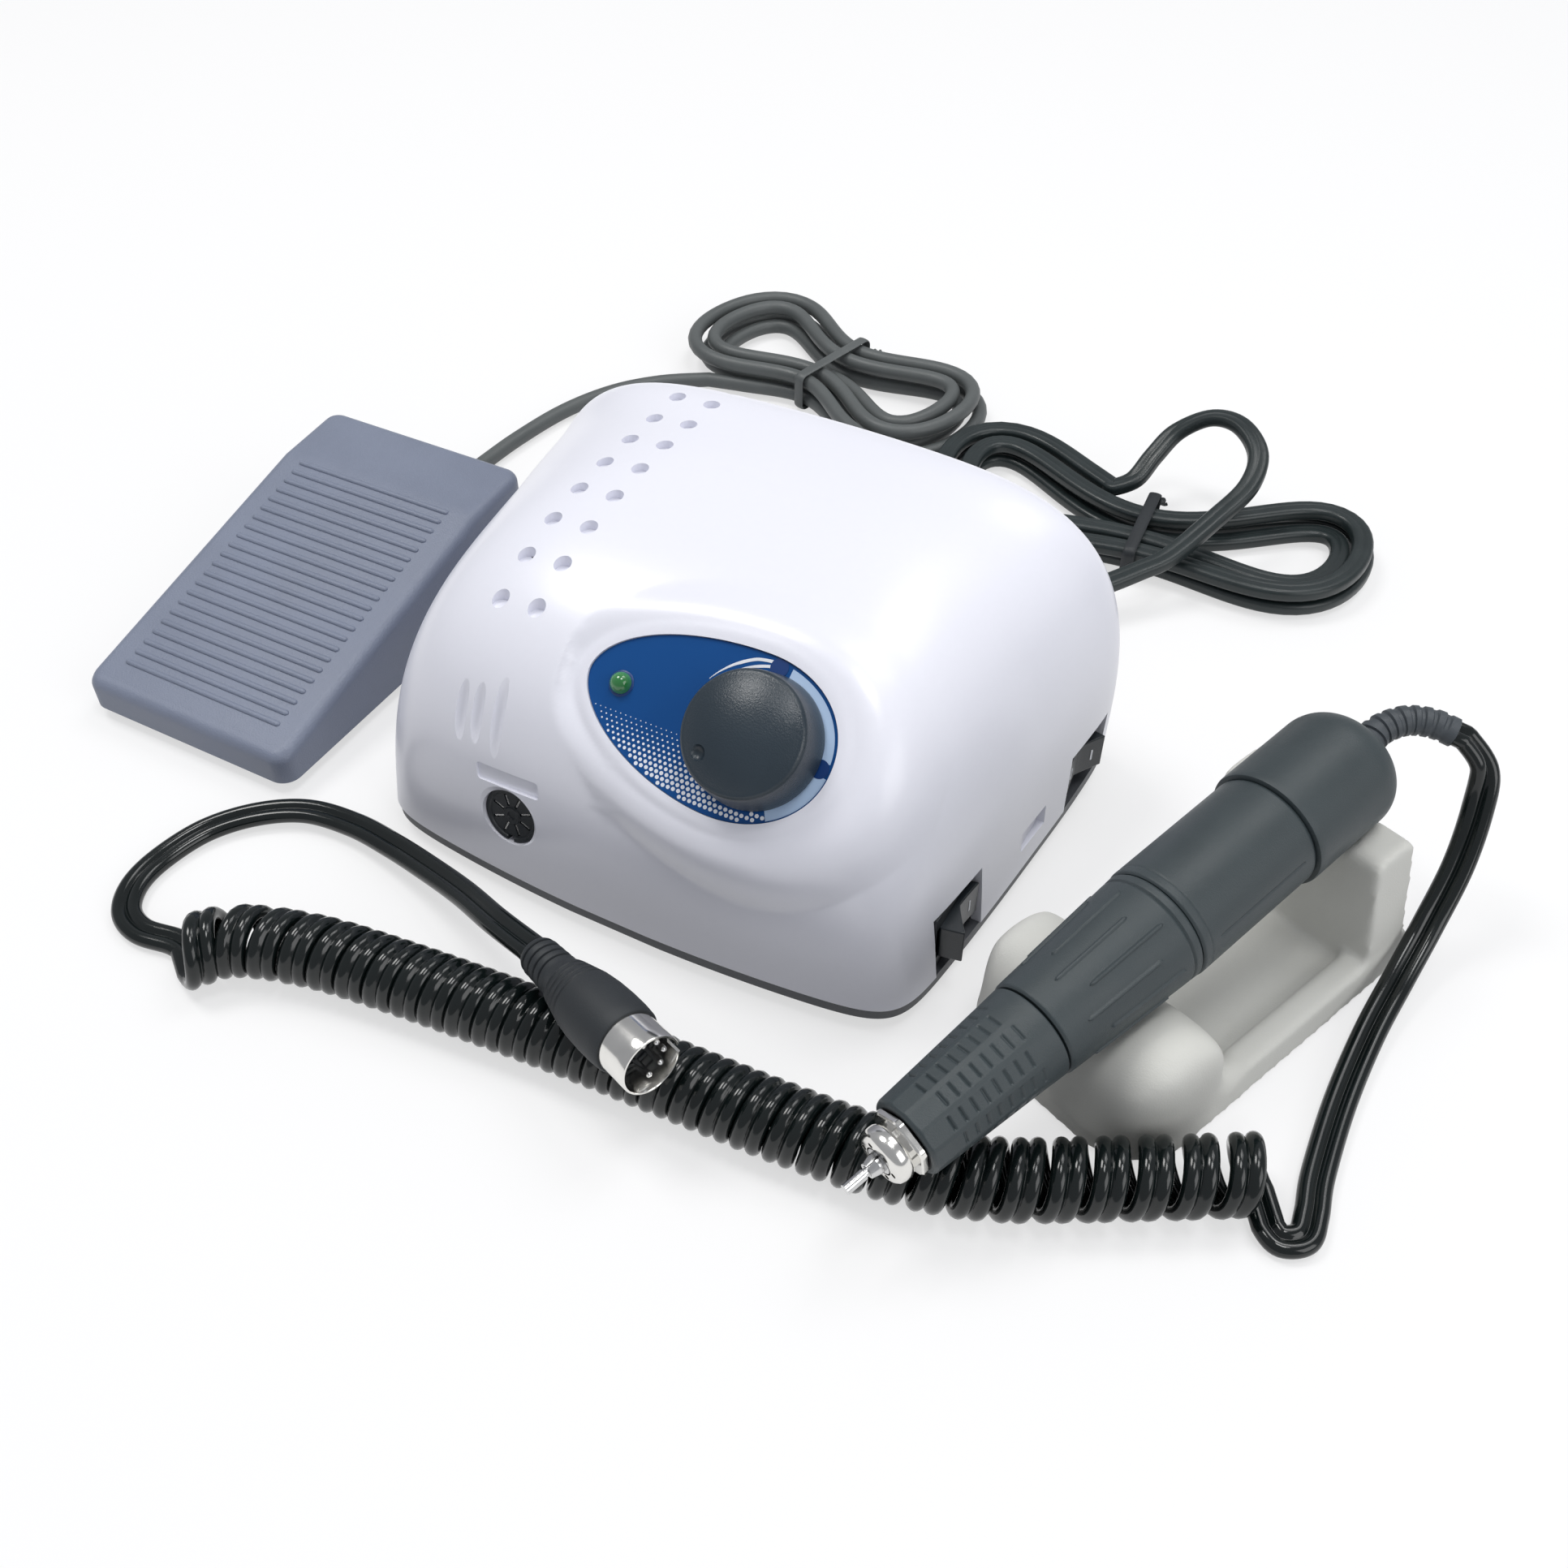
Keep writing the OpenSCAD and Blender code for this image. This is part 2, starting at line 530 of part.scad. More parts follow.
// Glands and jacks on the rear wall
mains_gland_y = rear_wall_y(mains_x);
gland_l = 22;
module mains_gland() color([0.07, 0.07, 0.08]) placed()
    translate([mains_x, mains_gland_y, mains_z]) rotate([-90, 0, 0]) {
        translate([0, 0, -shell_wall - 4]) cylinder(r = gland_r - 0.1, h = shell_wall + 6);
        translate([0, 0, 1.4]) cylinder(r1 = gland_r + 2, r2 = 4.4, h = gland_l - 1.4, $fn = 48);
    }
jack_y = rear_wall_y(jack_x);
pin_r = 1.75;
module pedal_jack() color([0.1, 0.1, 0.11]) placed()
    translate([jack_x, jack_y, jack_z]) rotate([-90, 0, 0]) difference() {
        union() {
            translate([0, 0, -16]) cylinder(r = jack_r - 0.1, h = 17);
            translate([0, 0, -shell_wall - 3.8]) cylinder(r = jack_r + 2.4, h = 2.2);
            translate([0, 0, 0.8]) cylinder(r = jack_r + 2, h = 2, $fn = 48);
        }
        translate([0, 0, -15]) cylinder(r = pin_r + 0.05, h = 20, $fn = 32);
    }

// ---- handpiece: +Z is its axis, towards the rear, from the nose grip's front face ----
hand_at = [91, -98.5, 27];
hand_yaw = 21.5;
module on_hand() translate(hand_at) rotate([0, 0, -hand_yaw]) rotate([-(90 - hand_rise), 0, 0])
    children();
function hand_pt(s) = hand_at + s * [sin(hand_yaw) * cos(hand_rise), cos(hand_yaw) * cos(hand_rise),
    sin(hand_rise)];
sleeve_s = nose_l;
case_s = sleeve_s + sleeve_l;
cap_s = case_s + case_l;
cap_end = cap_s + cap_l;
housing_r = 7.4;
housing_in_r = 6.4;
bearing_w = 5;
bearing_s = [3, sleeve_s + 10];
rear_bearing_s = cap_s;
case_in_r = case_r - 1.8;
shaft_r = 2;
collet_r = 2.2;
collet_l = 22;
pin_l = 20;
shank_bare = 4.8;

module nose_grip() color([0.3, 0.31, 0.33]) placed() on_hand() difference() {
    rotate_extrude($fn = 96) polygon(concat(
        [[housing_r + 0.02, 0], [nose_r - 0.6, 0], [nose_r, 0.6]],
        [for (i = [0:7]) each let(s = 7 + i * 3.1, r = mix(nose_r, sleeve_front_r - 0.3, s / nose_l))
            [[r, s], [r - 0.5, s + 0.5], [r - 0.5, s + 1], [r, s + 1.5]]],
        [[sleeve_front_r - 0.3, nose_l - 0.2], [housing_r + 0.02, nose_l - 0.2]]));
}

// Chrome hexagon collar, rounded nut and front disc in one
nut_hex_r = 7.9;
nut_ring_r = 6.2;
module nose_nut() color([0.85, 0.85, 0.87]) placed() on_hand() difference() {
    union() {
        translate([0, 0, -1.8]) cylinder(r = nut_hex_r, h = 1.7, $fn = 6);
        translate([0, 0, -3]) cylinder(r = nut_ring_r - 0.8, h = 1.3, $fn = 64);
        translate([0, 0, -6.2]) cylinder(r = nut_ring_r, h = 3.3, $fn = 64);
        translate([0, 0, -7]) cylinder(r1 = nut_ring_r - 0.8, r2 = nut_ring_r, h = 0.81, $fn = 64);
    }
    translate([0, 0, -8]) cylinder(r = spindle_r + 0.3, h = 9);
}

module collet() color([0.8, 0.8, 0.82]) placed() on_hand() difference() {
    union() {
        translate([0, 0, -10]) cylinder(r1 = collet_r - 0.5, r2 = collet_r, h = 2, $fn = 48);
        translate([0, 0, -8.01]) cylinder(r = collet_r, h = collet_l, $fn = 48);
    }
    translate([0, 0, -11]) cylinder(r = shank_r + running_gap, h = collet_l + 5, $fn = 48);
    translate([-0.3, -5, -11]) cube([0.6, 10, 12]);
}

module spindle() color([0.7, 0.7, 0.72]) placed() on_hand() difference() {
    union() {
        translate([0, 0, -7]) cylinder(r = spindle_r, h = sleeve_s + 20 + 7, $fn = 64);
        translate([0, 0, sleeve_s + 20 - 0.01])
            cylinder(r = shaft_r, h = rear_bearing_s + bearing_w + 1 - sleeve_s - 20, $fn = 48);
    }
    translate([0, 0, -8]) cylinder(r = collet_r + 0.02, h = collet_l + 0.4, $fn = 48);
    translate([0, 0, 0]) cylinder(r = shank_r + running_gap, h = collet_l + 3, $fn = 48);
}

module bearing(s, ri, ro) translate([0, 0, s]) difference() {
    cylinder(r = ro, h = bearing_w, $fn = 64);
    translate([0, 0, -1]) cylinder(r = ri, h = bearing_w + 2, $fn = 64);
}
module ball_bearings() color([0.78, 0.78, 0.8]) placed() on_hand() {
    for (s = bearing_s)
        bearing(s, spindle_r + running_gap, housing_in_r - 0.02);
    bearing(rear_bearing_s + 0.3, shaft_r + running_gap, 4);
}

module front_housing() color([0.55, 0.55, 0.57]) placed() on_hand() difference() {
    union() {
        translate([0, 0, 0.2]) cylinder(r = housing_r, h = case_s + 1.8, $fn = 64);
        translate([0, 0, sleeve_s + 2]) cylinder(r = 9, h = sleeve_l - 4, $fn = 64);
        translate([0, 0, case_s]) cylinder(r = case_in_r - 0.02, h = 2, $fn = 64);
    }
    translate([0, 0, -1]) cylinder(r = housing_in_r, h = case_s + 4, $fn = 64);
}

// Turning ring that opens and shuts the collet
lobes = 10;
module lock_sleeve() color([0.25, 0.26, 0.28]) placed() on_hand() difference() {
    translate([0, 0, sleeve_s + 0.15])
        cylinder(r1 = sleeve_front_r, r2 = sleeve_rear_r, h = sleeve_l - 0.3, $fn = 96);
    translate([0, 0, sleeve_s - 1]) cylinder(r = housing_r + running_gap + 0.1, h = sleeve_l + 2, $fn = 64);
    translate([0, 0, sleeve_s + 1.7]) cylinder(r = 9 + running_gap, h = sleeve_l - 3.4, $fn = 64);
    slope = atan((sleeve_rear_r - sleeve_front_r) / sleeve_l);
    for (i = [0:lobes - 1])
        rotate([0, 0, (i + 0.5) * 360 / lobes]) translate([sleeve_front_r + 0.35, 0, sleeve_s + 7])
            rotate([0, slope, 0]) cylinder(r = 1, h = sleeve_l - 12, $fn = 24);
}

module motor_case() color([0.24, 0.25, 0.27]) placed() on_hand() difference() {
    union() {
        translate([0, 0, case_s]) cylinder(r = case_r, h = case_l - 0.2, $fn = 96);
        translate([0, 0, case_s]) cylinder(r = case_r - 0.9, h = case_l + 6, $fn = 96);
    }
    translate([0, 0, case_s - 1]) cylinder(r = case_in_r, h = case_l + 10, $fn = 96);
}

magnet_l = 24;
magnet_s = case_s + 5;
module stator_magnets() color([0.2, 0.2, 0.2]) placed() on_hand()
    translate([0, 0, magnet_s]) intersection() {
        difference() {
            cylinder(r = case_in_r - 0.02, h = magnet_l, $fn = 96);
            translate([0, 0, -1]) cylinder(r = case_in_r - 2.2, h = magnet_l + 2, $fn = 96);
        }
        for (q = [0, 180])
            rotate([0, 0, q]) translate([3, -20, -1]) cube([20, 40, magnet_l + 2]);
    }

module rotor() color([0.55, 0.35, 0.2]) placed() on_hand()
    translate([0, 0, magnet_s + 1]) difference() {
        cylinder(r = case_in_r - 2.6, h = magnet_l - 2, $fn = 64);
        translate([0, 0, -1]) cylinder(r = shaft_r, h = magnet_l, $fn = 48);
        for (q = [0:60:300])
            rotate([0, 0, q]) translate([5, -0.6, -1]) cube([10, 1.2, magnet_l]);
    }
comm_r = 4;
comm_s = magnet_s + magnet_l + 0.5;
module commutator() color([0.8, 0.5, 0.3]) placed() on_hand()
    translate([0, 0, comm_s]) difference() {
        cylinder(r = comm_r, h = 4.2, $fn = 64);
        translate([0, 0, -1]) cylinder(r = shaft_r, h = 7, $fn = 48);
    }
brush_w = 3;
module brushes() color([0.15, 0.15, 0.16]) placed() on_hand()
    for (q = [90, 270])
        rotate([0, 0, q]) translate([comm_r + 0.1, -brush_w / 2, comm_s + 0.6])
            cube([4, brush_w, brush_w]);
plate_s = comm_s + 4.6;
module brush_plate() color([0.35, 0.25, 0.15]) placed() on_hand() difference() {
    union() {
        translate([0, 0, plate_s]) cylinder(r = case_in_r - 0.05, h = 1.4, $fn = 96);
        translate([0, 0, plate_s]) cylinder(r = 5.6, h = rear_bearing_s + bearing_w - plate_s, $fn = 64);
        for (q = [90, 270])
            rotate([0, 0, q]) translate([comm_r + 0.8, -brush_w / 2 - 1, comm_s + 0.3])
                cube([5.4, brush_w + 2, plate_s - comm_s]);
    }
    translate([0, 0, plate_s - 1]) cylinder(r = shaft_r + 0.4, h = 20, $fn = 48);
    translate([0, 0, rear_bearing_s + 0.3]) cylinder(r = 4.02, h = 20, $fn = 64);
    for (q = [90, 270])
        rotate([0, 0, q]) translate([0, -brush_w / 2 - 0.05, comm_s + 0.55])
            cube([comm_r + 4.6, brush_w + 0.1, brush_w + 0.1]);
}

boot_hole_r = 4.2;
// Cap with a rounded rear end
module rear_cap() color([0.3, 0.31, 0.33]) placed() on_hand() rotate_extrude($fn = 96) polygon(concat(
    [[case_r - 0.88, cap_s], [cap_r - 0.5, cap_s], [cap_r, cap_s + 0.5]],
    [for (q = [0:15:90]) [cap_r - 9 + 9 * cos(q), cap_end - 9 + 9 * sin(q)]],
    [[boot_hole_r, cap_end], [boot_hole_r, cap_end - 2.5]],
    [for (q = [90:-30:0]) [cap_r - 9 + 6.8 * cos(q), cap_end - 9.3 + 6.8 * sin(q)]],
    [[cap_r - 2.2, cap_s + 7], [case_r - 0.88, cap_s + 6.5]]));

// Ribbed boot swept along a bend
boot_route = [hand_pt(cap_end - 2.2), hand_pt(cap_end + 3), [144.6, 38, 47.8], [149, 42.5, 49], [154.5, 44.6, 49],
    [160, 45, 48]];
boot_ribs = 9;
boot_sides = 12;
module cord_boot() color([0.26, 0.28, 0.3]) placed() {
    p = boot_path;
    m = len(p);
    rings = [for (i = [0:m - 1]) let(h = heading(p, i), a = across(h), b = cross(h, a),
        k = i / (m - 1), d = 2 * mix(3.9, 3.3, k) * (i % 3 == 2 && i < m - 2 ? 0.84 : 1))
        each ring(p[i], a, b, mix(d, max(d, flat_w + 1.4), k), d, boot_sides)];
    polyhedron(rings, tube_faces(m, boot_sides), convexity = 6);
}

// Pin with a fine groove that marks how deep it goes into the collet
module test_pin() color([0.85, 0.85, 0.86]) placed() on_hand() difference() {
    translate([0, 0, -10 - shank_out]) cylinder(r = shank_r, h = shank_out + 10 + pin_l, $fn = 48);
    translate([0, 0, -10 - shank_out]) difference() {
        translate([0, 0, shank_bare]) cylinder(r = shank_r + 1, h = 0.8, $fn = 48);
        translate([0, 0, shank_bare - 1]) cylinder(r = shank_r - 0.25, h = 3, $fn = 48);
    }
}

// ---- cradle: local Y runs under the handpiece, local X across, its middle at y = 0 ----
cradle_at = [124, -14.8];
module on_cradle() translate([cradle_at[0], cradle_at[1], 0]) rotate([0, 0, -hand_yaw]) children();
cradle_front = -cradle_l / 2;
cradle_corner_front = 16;
cradle_corner_rear = 5;
rest_front_y = cradle_front + 16;
rest_front_r = 14;
rest_half_w = cradle_half_w - 1.2;
rest_rear_y = cradle_front + cradle_l - 10;
rest_rear_l = 14;
base_draft = 1.4;
// A block along X whose side view and end view are the two children
module crossed(y, l) intersection() {
    rotate([90, 0, 90]) translate([0, 0, -40]) linear_extrude(80) children(0);
    translate([0, y + l / 2 + 1, 0]) rotate([90, 0, 0]) linear_extrude(l + 2) children(1);
}
// Outline on the table: wide round corners in front, small ones at the rear
module cradle_plan() {
    for (x = [-1, 1]) {
        translate([x * (cradle_half_w - cradle_corner_front), cradle_front + cradle_corner_front])
            circle(r = cradle_corner_front, $fn = 96);
        translate([x * (cradle_half_w - cradle_corner_rear), cradle_front + cradle_l - cradle_corner_rear])
            circle(r = cradle_corner_rear, $fn = 48);
    }
    translate([-cradle_half_w, cradle_front + cradle_corner_front])
        square([2 * cradle_half_w, cradle_l - cradle_corner_front - cradle_corner_rear]);
    translate([-cradle_half_w + cradle_corner_front, cradle_front])
        square([2 * (cradle_half_w - cradle_corner_front), cradle_l - 1]);
    translate([-cradle_half_w + cradle_corner_rear, cradle_front + cradle_l / 2])
        square([2 * (cradle_half_w - cradle_corner_rear), cradle_l / 2]);
}
module cradle() color([0.82, 0.81, 0.78]) placed() difference() {
    on_cradle() intersection() {
        linear_extrude(60) cradle_plan();
        union() {
            // base with drafted sides
            translate([0, cradle_front + cradle_l, 0]) rotate([90, 0, 0]) linear_extrude(cradle_l)
                polygon([[-cradle_half_w, 0], [cradle_half_w, 0], [cradle_half_w - base_draft, rail_h],
                    [base_draft - cradle_half_w, rail_h]]);
            crossed(rest_front_y, 2 * rest_front_r) {
                union() {
                    translate([rest_front_y, front_rest_h - rest_front_r]) circle(r = rest_front_r, $fn = 96);
                    translate([rest_front_y - rest_front_r, 1])
                        square([2 * rest_front_r, front_rest_h - rest_front_r - 1]);
                }
                union() {
                    for (x = [-1, 1])
                        translate([x * (rest_half_w - 7), front_rest_h - 7]) circle(r = 7, $fn = 64);
                    translate([-rest_half_w, 1]) square([2 * rest_half_w, front_rest_h - 8]);
                    translate([7 - rest_half_w, 1]) square([2 * rest_half_w - 14, front_rest_h - 1]);
                }
            }
            crossed(rest_rear_y, rest_rear_l) {
                union() {
                    translate([rest_rear_y - rest_rear_l / 2, 1]) square([rest_rear_l, rear_rest_h - 4]);
                    translate([rest_rear_y - rest_rear_l / 2 + 3, 1]) square([rest_rear_l - 6, rear_rest_h - 1]);
                    for (s = [-1, 1])
                        translate([rest_rear_y + s * (rest_rear_l / 2 - 3), rear_rest_h - 3])
                            circle(r = 3, $fn = 32);
                }
                polygon([[-cradle_half_w + 0.4, 1], [-21, rear_rest_h], [21, rear_rest_h],
                    [cradle_half_w - 0.4, 1]]);
            }
        }
    }
    // recessed floor between the rests
    on_cradle() translate([-20, rest_front_y + rest_front_r + 0.6, rail_h / 2])
        cube([40, rest_rear_y - rest_rear_l / 2 - rest_front_y - rest_front_r - 0.8, 20]);
    // hollows that take the sleeve and the cap
    on_hand() translate([0, 0, sleeve_s])
        cylinder(r1 = sleeve_front_r + rest_gap, r2 = sleeve_rear_r + rest_gap, h = sleeve_l, $fn = 96);
    on_hand() translate([0, 0, cap_s - 10]) cylinder(r = cap_r + rest_gap, h = cap_l + 20, $fn = 96);
    // hollow underside
    on_cradle() translate([-cradle_half_w + 6, cradle_front + 8, -1])
        cube([2 * cradle_half_w - 12, cradle_l - 13, 2.8]);
}

// ---- pedal: local frame has its middle at x = 0 and its front edge at y = 0 ----
pedal_at = [-135, -65.5];
module on_pedal() translate([pedal_at[0], pedal_at[1], 0]) children();
hinge_y = 9.5;
hinge_z = 7;
slope_q = atan((pedal_rear_h - pedal_front_h) / (pedal_l - 5));
skirt_rear = 11.5;
function pedal_top(y) = mix(pedal_front_h, pedal_rear_h, (y - 3) / (pedal_l - 5));
pedal_corner = 5;
module pedal_side(w, low) polygon([[w, low], [w, pedal_front_h - 3], [3, pedal_top(3) - w],
    [pedal_l - 2 - w / 2, pedal_top(pedal_l - 2) - w * 1.02], [pedal_l - w, pedal_rear_h - 2.5 - w / 2],
    [pedal_l - w, low + (low > 0 ? skirt_rear - 3 : 0)]]);
module pedal_form(w, low) intersection() {
    rotate([90, 0, 90]) translate([0, 0, -pedal_w / 2 + w]) linear_extrude(pedal_w - 2 * w) pedal_side(w, low);
    translate([0, 0, -5]) linear_extrude(80) {
        translate([-pedal_w / 2 + pedal_corner, w]) square([pedal_w - 2 * pedal_corner, pedal_l - 2 * w]);
        translate([-pedal_w / 2 + w, pedal_corner]) square([pedal_w - 2 * w, pedal_l - 2 * pedal_corner]);
        for (x = [-1, 1]) for (y = [pedal_corner, pedal_l - pedal_corner])
            translate([x * (pedal_w / 2 - pedal_corner), y]) circle(r = pedal_corner - w + 0.001, $fn = 48);
    }
}
ridge_from = 18;
ridge_to = pedal_l - 23.5;
spring_y = pedal_l - 19.5;
spring_top = 26;
spring_r = 5;
module pedal_cover() color([0.47, 0.49, 0.57]) placed() on_pedal() difference() {
    union() {
        difference() {
            pedal_form(0, 3);
            pedal_form(pedal_wall, -3);
        }
        translate([0, spring_y, spring_top]) cylinder(r = 7, h = pedal_top(spring_y) - spring_top - 1.5);
        // cross ridges
        rotate([90, 0, 90]) translate([0, 0, -27]) linear_extrude(54) polygon(concat(
            [for (i = [0:ridge_count - 1]) each let(y = mix(ridge_from, ridge_to, i / (ridge_count - 1)))
                [[y - 0.9, pedal_top(y - 0.9) - 0.4], [y - 0.4, pedal_top(y - 0.4) + 0.6],
                [y + 0.4, pedal_top(y + 0.4) + 0.6], [y + 0.9, pedal_top(y + 0.9) - 0.4]]],
            [[ridge_to + 1, pedal_top(ridge_to + 1) - 1], [ridge_from - 1, pedal_top(ridge_from - 1) - 1]]));
    }
    translate([-pedal_w, hinge_y, hinge_z]) rotate([0, 90, 0])
        cylinder(r = pedal_pin_r + running_gap, h = 2 * pedal_w, $fn = 48);
    // slot over the cord's gland, open downwards
    translate([pedal_gland_x - 4, pedal_l - 6, 0]) cube([8, 10, 20.5]);
    // groove between the ridges and the smooth strip
    translate([-28, ridge_to + 4, pedal_top(ridge_to + 4) - 0.5]) cube([56, 0.8, 3]);
}

base_gap = 0.8;
base_half = pedal_w / 2 - pedal_wall - base_gap;
pedal_base_z = 2;
module pedal_base() color([0.3, 0.31, 0.34]) placed() on_pedal() difference() {
    union() {
        translate([-base_half, 4, pedal_base_z]) cube([2 * base_half, pedal_l - 8, 2]);
        for (x = [-base_half, base_half - 2])
            translate([x, 5, pedal_base_z]) cube([2, pedal_l - 10, 5.5]);
        translate([-base_half, pedal_l - 7, pedal_base_z]) cube([2 * base_half, 2.5, 9]);
        for (x = [-base_half, base_half - 4])
            translate([x, hinge_y - 3, pedal_base_z]) cube([4, 6, hinge_z - pedal_base_z + 2]);
        translate([0, spring_y, pedal_base_z + 1]) cylinder(r = spring_r - 2, h = 5, $fn = 48);
        translate([pedal_gland_x - 7, pedal_l - 12, pedal_base_z]) cube([14, 7.5, 13]);
    }
    translate([-pedal_w, hinge_y, hinge_z]) rotate([0, 90, 0])
        cylinder(r = pedal_pin_r + 0.02, h = 2 * pedal_w, $fn = 48);
    translate([pedal_gland_x, pedal_l - 20, pedal_gland_z]) rotate([-90, 0, 0]) cylinder(r = 3.2, h = 30, $fn = 48);
}
pedal_gland_x = -12;
pedal_gland_z = 8.5;
module pedal_gland() color([0.25, 0.26, 0.28]) placed() on_pedal()
    translate([pedal_gland_x, pedal_l - 14, pedal_gland_z]) rotate([-90, 0, 0]) {
        cylinder(r = 3.15, h = 16, $fn = 48);
        translate([0, 0, -1.8]) cylinder(r = 4.2, h = 1.8, $fn = 48);
        translate([0, 0, 15.9]) cylinder(r1 = 3.15, r2 = 2.9, h = 7, $fn = 48);
    }
module pedal_pin() color([0.75, 0.75, 0.76]) placed() on_pedal()
    translate([-pedal_w / 2 + 0.3, hinge_y, hinge_z]) rotate([0, 90, 0])
        cylinder(r = pedal_pin_r, h = pedal_w - 0.6, $fn = 48);
spring_turns = 6;
spring_wire = 1.2;
spring_path = let(low = pedal_base_z + 2 + spring_wire / 2 + 0.2, n = spring_turns * 8)
    [for (i = [0:n]) [spring_r * cos(45 * i), spring_y + spring_r * sin(45 * i),
        mix(low, spring_top - spring_wire / 2 - 0.2, i / n)]];
module pedal_spring() color([0.7, 0.7, 0.72]) placed() on_pedal() {
    p = spring_path;
    ends = concat([p[0] - heading(p, 0) * spring_wire], p, [p[len(p) - 1] + heading(p, len(p) - 1) * spring_wire]);
    cord(ends, spring_wire, spring_wire, 6);
}
module pedal_switch() color([0.12, 0.12, 0.12]) placed() on_pedal()
    translate([-10, pedal_l - 41.5, pedal_base_z + 2]) {
        cube([20, 7, 12]);
        translate([5, 2, 11.9]) cube([3, 3, 1.6]);
        translate([2, 1.5, 13.6]) rotate([0, -6, 0]) cube([15, 4, 0.4]);
        translate([2, 1.5, 11.9]) cube([1, 4, 1.9]);
    }
module pedal_feet() color([0.12, 0.12, 0.13]) placed() on_pedal()
    for (x = [-1, 1]) for (y = [14, pedal_l - 14])
        translate([x * (pedal_w / 2 - 11), y, 0]) cylinder(r = 5, h = pedal_base_z, $fn = 48);

// ---- handpiece cord ----
curl_r = curl_d / 2 - flat_t / 2;
curl_z = curl_d / 2 + 0.3;
lay_z = curl_z - curl_r;
curl_axis = spline([[-80, -122, curl_z], [-75, -115.5, curl_z], [-68, -111.5, curl_z], [-59, -108.5, curl_z],
    [-48, -106, curl_z], [-29, -103.5, curl_z], [-10, -101.5, curl_z], [12, -99.5, curl_z], [36, -98, curl_z],
    [60, -96.5, curl_z], [80, -94.5, curl_z], [96, -91.5, curl_z], [109, -86.5, curl_z], [121, -80, curl_z],
    [134, -72.5, curl_z], [146, -65.5, curl_z], [155, -60, curl_z]], 5);
// Lengths from the start of the axis to each of its points
function run(p, i = 0, s = 0, out = []) = i >= len(p) ? out
    : run(p, i + 1, i + 1 < len(p) ? s + norm(p[i + 1] - p[i]) : s, concat(out, [s]));
axis_run = run(curl_axis);
axis_len = axis_run[len(axis_run) - 1];
function axis_i(s) = len([for (v = axis_run) if (v <= s) 1]) - 1;
function axis_at(s) = let(i = min(axis_i(s), len(curl_axis) - 2),
    f = (s - axis_run[i]) / (axis_run[i + 1] - axis_run[i])) curl_axis[i] * (1 - f) + curl_axis[i + 1] * f;
function axis_dir(s) = unit_v(axis_at(min(s + 3, axis_len)) - axis_at(max(s - 3, 0)));
// Share of the axis used after share k of the curls: a little looser at both ends
function eased(k) = (k + 0.05 * (1 - pow(1 - k, 9)) + 0.11 * pow(k, 4)) / 1.16;
curl_steps = curls * 8;
curl_frames = [for (i = [0:curl_steps]) let(s = axis_len * eased(i / curl_steps), t = axis_dir(s),
    n = [-t[1], t[0], 0], q = -90 + 45 * (curl_steps - i), out = n * cos(q) + [0, 0, sin(q)])
    [axis_at(s) + out * curl_r, t, -out, n]];
curl_path = [for (f = curl_frames) f[0]];
curl_first = curl_frames[0];
curl_last = curl_frames[curl_steps];
curl_start = curl_first[0] + curl_first[3] * flat_w;
curl_end = curl_last[0] - curl_last[3] * flat_w;
module curly_section() color([0.06, 0.08, 0.08]) placed() {
    rings = concat(ring(curl_start, curl_first[1], curl_first[2], flat_w, flat_t, 6),
        [for (f = curl_frames) each ring(f[0], f[1], f[2], flat_w, flat_t, 6)],
        ring(curl_end, curl_last[1], curl_last[2], flat_w, flat_t, 6));
    polyhedron(rings, tube_faces(curl_steps + 3, 6), convexity = 10);
}
boot_path = spline(boot_route, 6);
boot_tip = boot_path[len(boot_path) - 1];
boot_way = heading(boot_path, len(boot_path) - 1);
handpiece_route = [[162.5, -68.8, lay_z], [166.3, -66, lay_z], [166.3, -60, lay_z], [165, -50, lay_z],
    [164.5, -30, lay_z], [165.5, -10, 3], [167.5, 6, 6], [169.5, 20, 12], [171, 31, 22], [170.5, 39, 33],
    [168.5, 43.5, 42]];
module handpiece_lead() color([0.1, 0.12, 0.13]) placed()
    cord(between(curl_end, -curl_last[3], handpiece_route, boot_tip, -boot_way, 2, 2.5), flat_w, flat_t, 8);

plug_front = [38, -107, 26.4];
plug_joint = [25.5, -102, 24.8];
plug_back = [-2, -91.5, 21.2];
plug_dir = unit_v(plug_front - plug_joint);
plug_yaw = atan2(plug_dir[1], plug_dir[0]);
plug_pitch = asin(plug_dir[2]);
boot_l = norm(plug_joint - plug_back);
// Plug's own frame: +Z points out of its open end, z = 0 where the shell meets the boot
module on_plug() translate(plug_joint) rotate([0, 0, plug_yaw]) rotate([0, 90 - plug_pitch, 0]) children();
boot_end = plug_joint - plug_dir * boot_l;
plug_route = [[-91, -117.2, lay_z], [-100, -118.5, lay_z], [-107.5, -115.5, lay_z],
    [-112, -108, lay_z], [-112.5, -98, lay_z], [-109, -86, lay_z + 0.5], [-101, -76, lay_z + 1],
    [-90, -69.5, lay_z + 1.5], [-76, -68, 4], [-62, -70, 5.5], [-48, -73.5, 8], [-33, -78.5, 12],
    [-18, -85, 17]];
module plug_lead() color([0.1, 0.12, 0.13]) placed()
    cord(between(curl_start, curl_first[3], plug_route, boot_end, plug_dir, 2, 2.5), flat_w, flat_t, 8);
